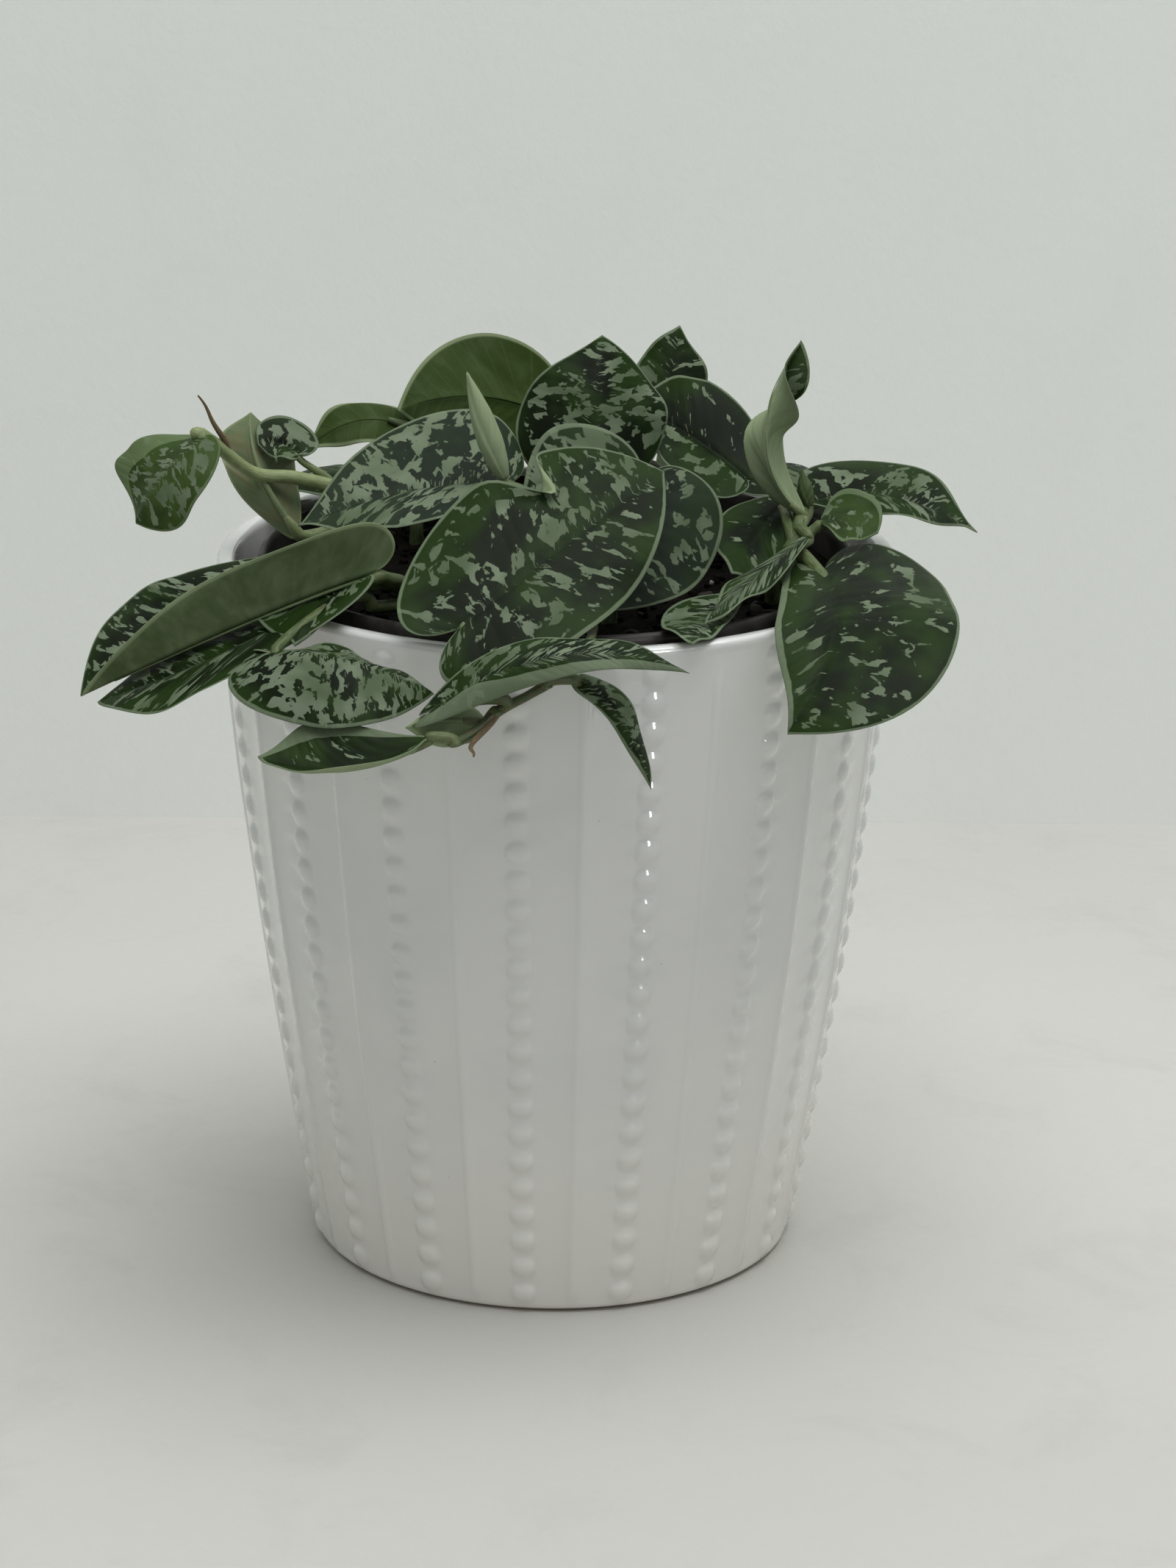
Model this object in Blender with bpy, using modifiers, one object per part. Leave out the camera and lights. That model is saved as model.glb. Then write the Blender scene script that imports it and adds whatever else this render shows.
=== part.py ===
"""Satin pothos in a plastic growing pot, standing in a white glazed cover pot with rows of raised beads.

Metres, +Z up. The origin is the middle of the cover pot's underside, and the front faces -Y.
Leaf and stem places are written in millimetres, as the plant grew, and scaled once.
"""

import math
from dataclasses import dataclass

import bmesh
import bpy
import numpy as np

MM = 0.001

# Cover pot
POT_HEIGHT = 0.169
FOOT_RADIUS = 0.0575
RIM_RADIUS = 0.080
BELLY = 0.0021  # how far the wall stands out from a straight cone halfway up
WALL = 0.0045
FLOOR = 0.006
FOOT_CHAMFER = 0.0012
LIP_ROUND = 0.0013
TURN_STEPS = 44

# Relief of the cover pot
COLUMNS = 16
COLUMN_PITCH = 2 * math.pi / COLUMNS
FIRST_COLUMN = math.radians(-6.5)  # the column nearest the front, from -Y towards +X
BEADS = 23
BEAD_PITCH = 0.00719
BEAD_WIDTH = 0.0066
BEAD_RELIEF = 0.0013
BEAD_VALLEY = 0.0002  # beads in a column run into each other this far out from the wall
RIB_WIDTH = 0.003
RIB_RELIEF = 0.0006
RIB_SPANS = 3

# Growing pot and soil
GAP = 0.0003  # between pieces that touch
GROWING_FOOT_RADIUS = 0.050
GROWING_TOP_RADIUS = 0.0686
GROWING_RIM_RADIUS = 0.0704
GROWING_WALL = 0.0012
GROWING_RIM_HEIGHT = 0.008
GROWING_TOP = 0.1693
DRAIN_HOLES = 6
DRAIN_RADIUS = 0.0045
DRAIN_CIRCLE = 0.034
SOIL_TOP = 0.1625
SOIL_SWELL = 0.0012
GROWING_STEPS = 40

# Plant
BLADE_THICKNESS = 0.8 * MM
BLADE_COLUMNS = 2  # spans from midrib to margin
WIDEST_RANGE = (0.12, 0.62)  # where along the midrib a half can be widest
LOBE_ROWS = 0.45  # share of the rows that go round the lobe to the widest place
VEIN_START = 0.22  # rows before this all start at the petiole, as the lobe's veins do
VEIN_SWEEP = 1.35  # how much the side veins bend towards the tip
TWIST_FROM, TWIST_SPAN = 0.45, 0.40
WAVES = 2.3  # waves along each margin
PETIOLE_SINK = 5.0  # mm of petiole that runs on as the midrib
PETIOLE_STEP = 6.0  # mm between the points along a petiole
ROLL_SHARES = (0, 0.12, 0.35, 0.6, 0.82, 1)  # along a rolled leaf, and its girth there
ROLL_GIRTH = (0.35, 0.75, 1, 0.85, 0.45, 0.1)
ROLL_SIDES = 8
ROLL_STEP = 0.3  # how far a rolled leaf's free edge stands out, as a share of its radius
STEM_SIDES, PETIOLE_SIDES = 1, 0  # curve bevel resolution, for 6 and 4 sides
HOLE_DEPTH = 0.020
HOLE_CLEARANCE = 0.0009
UPRIGHT = 4.0  # mm that a stem stands upright above the soil


@dataclass(frozen=True)
class Leaf:
    """One blade and its petiole, in millimetres and degrees.

    base is where the petiole joins, crown the middle of the midrib, and left and right the widest
    places of the two halves, seen from the top side with the tip pointing away. joint is the
    place on the stem, from 0 at its root to 1 at its tip. curl turns each half up from midrib to
    margin, lobe is the lobes' reach behind the base, and full is how blunt the tip end is, with
    fuller added to it for the left and the right half.
    """

    joint: float
    base: tuple
    crown: tuple
    tip: tuple
    left: tuple
    right: tuple
    curl: tuple = (-15, -15)
    twist: float = 0
    wave: float = 1.0
    lobe: float = 0.12
    full: float = 0.42
    fuller: tuple = (0, 0)
    petiole: float = 1.2
    rows: int = 8


@dataclass(frozen=True)
class Bud:
    """A young leaf that is still rolled up, in millimetres."""

    joint: float
    base: tuple
    tip: tuple
    width: float
    petiole: float = 0.9


@dataclass(frozen=True)
class Vine:
    """One stem, from the soil to its tip, with the leaves and dry bracts that grow on it."""

    name: str
    stem: tuple
    radius: float
    leaves: tuple
    bracts: tuple = ()


VINES = (
    Vine(
        "vine_left",
        ((-44, 6, 163), (-45, 3, 174), (-51, -2, 184), (-61, -5, 188), (-71, -8, 190), (-80, -14, 199),
         (-84, -17, 202)),
        1.7,
        (
            Leaf(0.93, (-82, -18, 201), (-90, -24, 194), (-97, -24, 182), (-82, -29, 190), (-99, -12, 197),
                 curl=(-30, 50), wave=0.3, lobe=0.10, full=1.4, petiole=1.0),
            Leaf(0.22, (-61, -8, 175), (-70, -5, 190), (-72, 5, 201), (-62, 6, 191), (-79, 2, 194),
                 curl=(-20, -20), lobe=0.04, full=1.9, petiole=1.5),
            Leaf(0.45, (-61, -2, 193), (-65, 0, 195), (-70, -2, 195), (-65, -5, 192), (-61, 5, 199),
                 curl=(0, 0), wave=0.5, lobe=0.2, full=0.9, petiole=0.8, rows=6),
        ),
        bracts=(((-76, -11, 195), (-79, -14, 203), (-83, -15, 210)),),
    ),
    Vine(
        "vine_back_left",
        ((-18, 26, 163), (-20, 24, 176), (-19, 20, 188)),
        1.8,
        (
            Leaf(0.85, (-36, 14, 195), (-48, 12, 197), (-60, 10, 190), (-46, 18, 201), (-43, 8, 193),
                 curl=(20, 20), lobe=0.08, rows=6),
            Leaf(1.0, (0, 26, 194), (-19, 18, 202), (-38, 12, 200), (-15, 30, 214), (-19, 10, 189),
                 curl=(-15, -20), lobe=0.13, full=0.5),
        ),
    ),
    Vine(
        "vine_middle",
        ((-2, -8, 163), (-3, -12, 176), (-5, -18, 186)),
        1.8,
        (
            Leaf(0.9, (-12, -20, 191), (-33, -26, 191), (-59, -36, 185), (-37, -42, 186), (-22, 0, 203),
                 curl=(-10, 0), lobe=0.09, full=0.3, petiole=1.3),
            Bud(1.0, (-12, -25, 193), (-21, -22, 218), 7),
        ),
    ),
    Vine(
        "vine_front",
        ((12, -36, 163), (10, -40, 170), (8, -45, 175)),
        1.8,
        (
            Leaf(1.0, (-21, -77, 174), (1, -62, 188), (24, -42, 200), (-20, -49, 197), (7, -78, 173),
                 curl=(-10, -10), wave=1.6, lobe=0.17, full=0.7, fuller=(0.5, 0), petiole=1.5),
            Leaf(0.7, (21, -28, 195), (18, -38, 182), (13, -48, 169), (37, -32, 181), (7, -32, 180),
                 full=0.7),
        ),
    ),
    Vine(
        "vine_back",
        ((24, 14, 163), (25, 15, 174), (24, 12, 184)),
        1.8,
        (
            Leaf(1.0, (8, -10, 190), (9, -6, 205), (10, 6, 220), (-10, -2, 201), (25, 2, 198), full=0.9, fuller=(-0.4, 0)),
            Leaf(0.9, (26, 30, 190), (27, 34, 201), (29, 42, 214), (18, 36, 203), (36, 38, 197),
                 curl=(-20, -20), lobe=0.08),
            Leaf(0.7, (18, -19, 190), (6, -20, 193), (-8, -26, 191), (3, -31, 182), (3, -14, 204),
                 curl=(-10, -10), wave=0.4, lobe=0.04, rows=6),
            Leaf(0.8, (44, 6, 186), (33, 12, 193), (18, 14, 202), (30, -4, 187), (32, 24, 207), full=0.6),
        ),
    ),
    Vine(
        "vine_right",
        ((50, -20, 163), (52, -18, 170), (56, -13, 178)),
        1.8,
        (
            Leaf(0.9, (52, -5, 182), (46, -16, 178), (40, -31, 173), (51, -24, 172), (38, -12, 181),
                 curl=(0, 0), lobe=0.1, rows=6),
            Leaf(1.0, (57, -8, 181), (48, -13, 200), (56, -6, 222), (52, -8, 199), (43, -10, 201),
                 curl=(-20, -20), twist=150, wave=0.3, lobe=0.03, full=1.7, rows=10),
            Leaf(1.0, (60, 4, 181), (78, 2, 183), (98, -8, 177), (72, 18, 188), (76, -4, 180),
                 lobe=0.05, full=0.2),
            Leaf(0.85, (61, -14, 181), (67, -16, 182), (74, -20, 180), (69, -8, 187), (67, -24, 179),
                 curl=(40, 20), wave=0.5, lobe=0.0, full=0.8, rows=6),
            Bud(0.6, (59, -3, 181), (57, -1, 190), 4.5),
            Leaf(0.8, (61, -36, 174), (61, -70, 169), (51, -88, 153), (89, -46, 174), (49, -66, 171),
                 wave=1.5, lobe=0.26, full=0.9, fuller=(0.4, -0.6), petiole=1.5),
            Leaf(1.0, (58, -20, 179), (45, -46, 177), (33, -68, 172), (48, -50, 176), (40, -44, 175),
                 curl=(15, 15), lobe=0.01),
            Leaf(0.5, (40, -44, 171), (33, -58, 170), (30, -80, 171), (38, -62, 170), (24, -58, 171),
                 curl=(0, 0), wave=0.6, lobe=0.08, rows=6),
        ),
    ),
    Vine(
        "vine_front_left",
        ((-34, -34, 163), (-37, -40, 167.5), (-42, -50, 170)),
        1.7,
        (
            Leaf(0.35, (-41, -52, 179), (-70, -62, 170), (-107, -61, 152), (-54, -60, 190), (-102, -42, 167),
                 curl=(-10, -10), lobe=0.07, full=0.95, fuller=(-0.25, 0.4), petiole=1.5),
            Leaf(0.3, (-46, -55, 177), (-74, -65, 164), (-103, -63, 151), (-86, -78, 154.5), (-72, -47, 168),
                 curl=(-20, -20), full=0.8),
            Leaf(0.3, (-56, -40, 175), (-56, -62, 173), (-58, -74, 168), (-48, -52, 173), (-67, -58, 170),
                 curl=(0, 0), lobe=0.08, rows=6),
            Leaf(1.0, (-62, -78, 168), (-44, -86, 168), (-27, -83, 160), (-46, -74, 166), (-55, -96, 157),
                 curl=(-10, -15), lobe=0.24, full=0.6),
        ),
    ),
    Vine(
        "vine_trailing",
        ((7, -46, 163), (8, -58, 169), (8, -72, 171.4), (6, -84, 170.2), (0, -91, 166.5), (-6, -93, 163),
         (-12, -94, 160), (-17, -97, 156.5), (-22, -100, 154)),
        1.1,
        (
            Leaf(1.0, (-28, -100, 155.5), (-46, -103, 149.5), (-65, -98, 150), (-47, -109, 151), (-50, -94, 157),
                 curl=(50, 50), wave=0.4, lobe=0.0, full=0.9),
            Leaf(0.75, (-25, -96, 162), (2, -99, 174), (29, -92, 168), (-4, -90, 175), (-6, -102, 168),
                 curl=(0, -10), lobe=0.14, full=0.4),
            Leaf(0.8, (-16, -93, 156), (-24, -94, 157), (-33, -92, 155), (-21, -89, 159), (-24, -96, 152),
                 curl=(0, 0), wave=0.5, lobe=0.08, rows=6),
            Leaf(0.6, (5, -91, 166), (14, -95, 158), (21, -91, 141), (15, -87, 161), (7, -93, 162),
                 curl=(-20, -30), wave=0.5, lobe=0.05, rows=6),
        ),
        bracts=(((-13, -95, 159), (-18, -100, 154), (-18, -103, 152)),),
    ),
)


def unit(vectors):
    """The same vectors with length 1."""
    return vectors / np.maximum(np.linalg.norm(vectors, axis=-1, keepdims=True), 1e-12)


def cubic(ends, at):
    """Points of a cubic curve through its first and last control point."""
    p0, p1, p2, p3 = (np.array(end, float) for end in ends)
    t = np.asarray(at, float)[:, None]
    return (1 - t) ** 3 * p0 + 3 * (1 - t) ** 2 * t * p1 + 3 * (1 - t) * t**2 * p2 + t**3 * p3


def smooth_path(points, per_span):
    """A smooth curve through every given point, as a list of points."""
    pts = np.array(points, float)
    ends = np.vstack([2 * pts[0] - pts[1], pts, 2 * pts[-1] - pts[-2]])
    path = []
    for before, start, end, after in zip(ends, ends[1:], ends[2:], ends[3:]):
        handles = (start, start + (end - before) / 6, end - (after - start) / 6, end)
        path.extend(cubic(handles, np.arange(per_span) / per_span))
    return np.array(path + [pts[-1]])


class Blade:
    """The curved sheet of one leaf, worked out from its five places."""

    def __init__(self, leaf):
        self.leaf = leaf
        base, crown, tip = (np.array(p, float) for p in (leaf.base, leaf.crown, leaf.tip))
        bend = 2 * crown - 0.5 * (base + tip)
        t = np.linspace(0, 1, 97)[:, None]
        self.points = (1 - t) ** 2 * base + 2 * (1 - t) * t * bend + t**2 * tip
        self.tangents = unit(2 * (1 - t) * (bend - base) + 2 * t * (tip - bend))
        steps = np.linalg.norm(np.diff(self.points, axis=0), axis=1)
        self.length = steps.sum()
        self.stations = np.concatenate([[0], np.cumsum(steps)]) / self.length
        self.across = unit(np.cross(bend - base, tip - bend))
        self.halves = {
            "left": self.half_form(leaf.left, leaf.curl[0]),
            "right": self.half_form(leaf.right, leaf.curl[1]),
        }

    def half_form(self, widest, curl):
        """Where a half is widest, the way it leaves the midrib there, its width and its curl."""
        offsets = np.array(widest, float) - self.points
        along = (offsets * self.tangents).sum(axis=1)
        outside = (self.stations < WIDEST_RANGE[0]) | (self.stations > WIDEST_RANGE[1])
        k = np.argmin(np.abs(along) + 1000 * outside)
        outward = offsets[k] - along[k] * self.tangents[k]
        chord = np.linalg.norm(outward)
        up = np.cross(self.across, self.tangents[k])
        turn = math.radians(curl)
        width = chord * (turn / 2) / math.sin(turn / 2) if curl else chord
        return self.stations[k], math.atan2(outward @ up, outward @ self.across), width, turn

    def midrib(self, x):
        """Places and directions on the midrib, which runs on straight behind the base."""
        inside = np.clip(x, 0, 1)
        place = np.stack([np.interp(inside, self.stations, c) for c in self.points.T], -1)
        tangent = unit(np.stack([np.interp(inside, self.stations, c) for c in self.tangents.T], -1))
        return place + np.minimum(x, 0)[..., None] * self.length * tangent, tangent

    def surface(self, side, x, y, lift):
        """Points at station x along the midrib and share y of the half width, raised by lift."""
        _, angle, width, turn = self.halves[side]
        place, tangent = self.midrib(x)
        share = np.clip((x - TWIST_FROM) / TWIST_SPAN, 0, 1)
        angle = angle + math.radians(self.leaf.twist) * share**2 * (3 - 2 * share)
        up = np.cross(self.across, tangent)
        outward = np.cos(angle)[..., None] * self.across + np.sin(angle)[..., None] * up
        normal = np.cross(outward, tangent) * (1 if side == "right" else -1)
        bend = turn * y - turn / 2
        if turn:
            out = width * (np.sin(bend) + math.sin(turn / 2)) / turn
            rise = width * (math.cos(turn / 2) - np.cos(bend)) / turn
        else:
            out, rise = width * y, 0 * y
        out = out - lift * np.sin(bend)
        rise = rise + lift * np.cos(bend)
        return place + outward * out[..., None] + normal * rise[..., None]

    def outline(self, side, rows):
        """The margin from the base round to the tip, as shares of midrib length and half width."""
        widest, lobe = self.halves[side][0], self.leaf.lobe
        first = round(rows * LOBE_ROWS)
        back = min(0.30, widest + 0.5 * lobe) + 0.9 * lobe
        reach = 1 - widest
        full = self.leaf.full + self.leaf.fuller[side == "right"]
        round_lobe = ((0, 0), (-2.1 * lobe, 0.16), (widest - back, 1), (widest, 1))
        to_tip = ((widest, 1), (widest + 0.45 * reach, 1), (1 - 0.30 * reach, full), (1, 0))
        lobe_part = cubic(round_lobe, np.linspace(0, 1, first + 1))
        return np.vstack([lobe_part, cubic(to_tip, np.linspace(0, 1, rows - first + 1)[1:])])

    def half_grid(self, side, rows, columns):
        """The points of one half, row by row from the lobe to the tip and from midrib to margin."""
        edge = self.outline(side, rows)[1:]
        v = np.linspace(0, 1, rows + 1)[1:, None]
        u = np.linspace(0, 1, columns + 1)[None, :]
        root = np.clip((v - VEIN_START) / (1 - VEIN_START), 0, 1) ** 1.15
        x = root + (edge[:, :1] - root) * u**VEIN_SWEEP
        y = edge[:, 1:] * u
        phase = self.length + (0 if side == "left" else 2.1)
        wave = np.sin(2 * math.pi * WAVES * v + phase) * np.sqrt(np.sin(math.pi * v).clip(0))
        return self.surface(side, x, y, self.leaf.wave * wave * u**2)

    def seat(self):
        """Where the petiole ends, its direction, the top side's normal and a point further in."""
        origin = np.zeros(1)
        place, tangent = self.midrib(origin)
        beside = [self.surface(side, origin, origin + 0.2, origin)[0] for side in ("left", "right")]
        across = unit(beside[1] - beside[0])
        normal = unit(np.cross(across, tangent[0]))
        sunk, _ = self.midrib(np.array([PETIOLE_SINK / self.length]))
        return place[0], tangent[0], normal, sunk[0] - 0.25 * normal + 0.12 * across

    def mesh(self):
        """Both halves as one sheet, triangulated so that its two faces come out alike."""
        bm = bmesh.new()
        for side in ("left", "right"):
            grid = MM * self.half_grid(side, self.leaf.rows, BLADE_COLUMNS)
            verts = [[bm.verts.new(place) for place in row] for row in grid]
            for row, after in zip(verts, verts[1:]):
                for k in range(BLADE_COLUMNS):
                    corners = (row[k], row[k + 1], after[k + 1], after[k])
                    bm.faces.new(corners if side == "right" else corners[::-1])
        bmesh.ops.triangulate(bm, faces=bm.faces)
        bmesh.ops.remove_doubles(bm, verts=bm.verts, dist=0.02 * MM)
        return bm


class RolledBlade:
    """The closed roll of a young leaf, with its free edge standing out along one side."""

    def __init__(self, bud):
        self.base, tip = np.array(bud.base, float), np.array(bud.tip, float)
        self.axis = tip - self.base
        self.aside = unit(np.cross(self.axis, (0, 1, 0)))
        self.front = unit(np.cross(self.axis, self.aside))
        self.radius = bud.width / 2

    def seat(self):
        """Where the petiole ends, its direction, the top side's normal and a point further in."""
        tangent = unit(self.axis)
        return self.base, tangent, np.zeros(3), self.base + 0.7 * PETIOLE_SINK * tangent

    def mesh(self):
        """The roll as a closed mesh."""
        bm = bmesh.new()
        rings = []
        for share, girth in zip(ROLL_SHARES, ROLL_GIRTH):
            ring = []
            for k in range(ROLL_SIDES + 1):
                a = 2 * math.pi * k / ROLL_SIDES
                r = self.radius * girth * (1 - ROLL_STEP * k / ROLL_SIDES)
                place = self.base + share * self.axis + r * (math.cos(a) * self.front + math.sin(a) * self.aside)
                ring.append(bm.verts.new(MM * place))
            rings.append(ring)
        for ring, after in zip(rings, rings[1:]):
            for k in range(ROLL_SIDES + 1):
                nearby = (k + 1) % (ROLL_SIDES + 1)
                bm.faces.new((ring[k], ring[nearby], after[nearby], after[k]))
        bm.faces.new(rings[0])
        bm.faces.new(rings[-1])
        bmesh.ops.recalc_face_normals(bm, faces=bm.faces)
        return bm


def new_object(name, bm, material=None):
    """A mesh object in the scene from a bmesh."""
    mesh = bpy.data.meshes.new(name)
    bm.to_mesh(mesh)
    bm.free()
    obj = bpy.data.objects.new(name, mesh)
    bpy.context.scene.collection.objects.link(obj)
    if material:
        mesh.materials.append(material)
    return obj


def finished(obj, name, material, parts, smooth_angle=40):
    """Applies the object's modifiers, names it and puts it among the parts."""
    graph = bpy.context.evaluated_depsgraph_get()
    mesh = bpy.data.meshes.new_from_object(obj.evaluated_get(graph))
    bpy.data.objects.remove(obj)
    mesh.name = name
    mesh.materials.clear()
    mesh.materials.append(material)
    mesh.shade_smooth()
    mesh.set_sharp_from_angle(angle=math.radians(smooth_angle))
    result = bpy.data.objects.new(name, mesh)
    parts.objects.link(result)
    return result


def finish_material(name, colour, roughness, coat=0.0):
    """A plain Principled material with the piece's colour."""
    material = bpy.data.materials.new(name)
    material.use_nodes = True
    shader = material.node_tree.nodes["Principled BSDF"]
    shader.inputs["Base Color"].default_value = (*colour, 1)
    shader.inputs["Roughness"].default_value = roughness
    shader.inputs["Metallic"].default_value = 0.0
    shader.inputs["Coat Weight"].default_value = coat
    return material


def wall_radius(z):
    """The cover pot's outer radius at a height."""
    share = z / POT_HEIGHT
    return FOOT_RADIUS + (RIM_RADIUS - FOOT_RADIUS) * share + 4 * BELLY * share * (1 - share)


def wall_chain(bm, angle, offset, heights, raised):
    """Points up the wall, offset sideways from an angle, each with its own relief."""
    chain = []
    for z, out in zip(heights, raised):
        radius = wall_radius(z)
        a = angle + offset / radius
        place = ((radius + out) * math.sin(a), -(radius + out) * math.cos(a), z)
        chain.append((z, bm.verts.new(place)))
    return chain


def turned_ring(bm, radius, z, start):
    """A closed ring of points, with its first one repeated a full turn on."""
    ring = []
    for step in range(TURN_STEPS):
        a = start + 2 * math.pi * step / TURN_STEPS
        ring.append((a, bm.verts.new((radius * math.sin(a), -radius * math.cos(a), z))))
    return ring + [(start + 2 * math.pi, ring[0][1])]


def stitch(bm, left, right):
    """Triangles between two rows of points that may differ in number, in order along the rows."""
    i = j = 0
    while i < len(left) - 1 or j < len(right) - 1:
        at_end = j == len(right) - 1
        if at_end or (i < len(left) - 1 and left[i + 1][0] <= right[j + 1][0]):
            bm.faces.new((left[i][1], right[j][1], left[i + 1][1]))
            i += 1
        else:
            bm.faces.new((left[i][1], right[j][1], right[j + 1][1]))
            j += 1


def beaded_wall(bm):
    """The relief wall, as rows of points up it, stitched side by side. Returns its low and high rings."""
    half_pitch = COLUMN_PITCH / 2
    valleys = FOOT_CHAMFER + BEAD_PITCH * np.arange(BEADS + 1)
    bead_heights = np.sort(np.concatenate([valleys, valleys[:-1] + BEAD_PITCH / 2]))
    bead_raised = np.where(np.arange(len(bead_heights)) % 2, BEAD_RELIEF, BEAD_VALLEY)
    bead_raised[[0, -1]] = 0
    rib_heights = np.linspace(valleys[0], valleys[-1], RIB_SPANS + 1)
    flat_rib, flat_bead = np.zeros(RIB_SPANS + 1), np.zeros(BEADS + 1)
    ridge = np.full(RIB_SPANS + 1, RIB_RELIEF)
    ridge[-1] = 0
    chains = []
    for column in range(COLUMNS):
        middle = FIRST_COLUMN + COLUMN_PITCH * column
        chains += [
            wall_chain(bm, middle - half_pitch, 0, rib_heights, ridge),
            wall_chain(bm, middle - half_pitch, RIB_WIDTH / 2, rib_heights, flat_rib),
            wall_chain(bm, middle, -BEAD_WIDTH / 2, valleys, flat_bead),
            wall_chain(bm, middle, -BEAD_WIDTH / 4, bead_heights, bead_raised),
            wall_chain(bm, middle, BEAD_WIDTH / 4, bead_heights, bead_raised),
            wall_chain(bm, middle, BEAD_WIDTH / 2, valleys, flat_bead),
            wall_chain(bm, middle + half_pitch, -RIB_WIDTH / 2, rib_heights, flat_rib),
        ]
    for left, right in zip(chains, chains[1:] + chains[:1]):
        stitch(bm, left, right)
    start = FIRST_COLUMN - half_pitch
    rings = []
    for end in (0, -1):
        ring = [(turn_angle(chain[end][1].co, start), chain[end][1]) for chain in chains]
        rings.append(ring + [(start + 2 * math.pi, ring[0][1])])
    return rings, start


def turn_angle(place, start):
    """The angle of a place round the pot, from start up to a full turn on."""
    angle = math.atan2(place.x, -place.y) - start
    return start + angle % (2 * math.pi - 1e-6)


def cover_pot(parts):
    """The glazed pot: a beaded wall, a rounded lip, a plain inside and a flat foot."""
    bm = bmesh.new()
    (low, high), start = beaded_wall(bm)
    foot = turned_ring(bm, FOOT_RADIUS - FOOT_CHAMFER, 0, start)
    stitch(bm, low, foot)
    bm.faces.new([vert for _, vert in foot[:-1]])
    top_inside = RIM_RADIUS - WALL
    below = high
    inside = [
        (RIM_RADIUS, POT_HEIGHT - LIP_ROUND),
        (RIM_RADIUS - LIP_ROUND, POT_HEIGHT),
        (top_inside + LIP_ROUND, POT_HEIGHT),
        (top_inside, POT_HEIGHT - LIP_ROUND),
    ]
    inside += [(wall_radius(z) - WALL, z) for z in (0.115, 0.060, FLOOR + 0.004)]
    inside.append((wall_radius(FLOOR) - WALL - 0.003, FLOOR))
    for radius, z in inside:
        ring = turned_ring(bm, radius, z, start)
        stitch(bm, ring, below)
        below = ring
    bm.faces.new([vert for _, vert in below[:-1]])
    bmesh.ops.recalc_face_normals(bm, faces=bm.faces)
    glaze = finish_material("white glaze", (0.78, 0.79, 0.77), 0.12, coat=0.6)
    return finished(new_object("cover_pot", bm), "cover_pot", glaze, parts)


def turned(name, profile, steps):
    """A solid turned from a profile that ends on the axis at both ends."""
    mesh = bpy.data.meshes.new(name)
    edges = [(i, i + 1) for i in range(len(profile) - 1)]
    mesh.from_pydata([(r, 0, z) for r, z in profile], edges, [])
    obj = bpy.data.objects.new(name, mesh)
    bpy.context.scene.collection.objects.link(obj)
    screw = obj.modifiers.new("turn", "SCREW")
    screw.axis = "Z"
    screw.angle = 2 * math.pi
    screw.steps = steps
    screw.render_steps = steps
    screw.use_merge_vertices = True
    screw.merge_threshold = 0.00001
    return obj


def growing_wall(z, inset=0.0):
    """The growing pot's radius at a height, less an inset."""
    bottom = FLOOR + GAP
    share = (z - bottom) / (GROWING_TOP - GROWING_RIM_HEIGHT - bottom)
    return GROWING_FOOT_RADIUS + (GROWING_TOP_RADIUS - GROWING_FOOT_RADIUS) * share - inset


def growing_pot(parts, cutters):
    """The thin plastic pot with its rolled rim and a ring of drainage holes."""
    bottom = FLOOR + GAP
    floor_top = bottom + GROWING_WALL
    rim_foot = GROWING_TOP - GROWING_RIM_HEIGHT
    profile = [
        (0, floor_top),
        (growing_wall(floor_top, GROWING_WALL), floor_top),
        (growing_wall(GROWING_TOP, GROWING_WALL), GROWING_TOP),
        (GROWING_RIM_RADIUS, GROWING_TOP),
        (GROWING_RIM_RADIUS, rim_foot),
        (growing_wall(rim_foot), rim_foot),
        (growing_wall(bottom), bottom),
        (0, bottom),
    ]
    pot = turned("growing_pot", profile, GROWING_STEPS)
    for hole in range(DRAIN_HOLES):
        angle = 2 * math.pi * hole / DRAIN_HOLES
        place = (DRAIN_CIRCLE * math.cos(angle), DRAIN_CIRCLE * math.sin(angle), bottom)
        cut(pot, cutters, place, DRAIN_RADIUS, 4 * GROWING_WALL)
    plastic = finish_material("dark plastic", (0.045, 0.042, 0.038), 0.45)
    return finished(pot, "growing_pot", plastic, parts)


def cut(obj, cutters, place, radius, depth):
    """Takes an upright round hole, centred on a place, out of an object."""
    bm = bmesh.new()
    bmesh.ops.create_cone(
        bm, cap_ends=True, cap_tris=False, segments=8, radius1=radius, radius2=radius, depth=depth
    )
    cutter = new_object("cutter", bm)
    cutter.location = place
    cutter.hide_render = True
    cutter.display_type = "WIRE"
    cutters.objects.link(cutter)
    bpy.context.scene.collection.objects.unlink(cutter)
    boolean = obj.modifiers.new("hole", "BOOLEAN")
    boolean.operation = "DIFFERENCE"
    boolean.object = cutter


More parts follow.
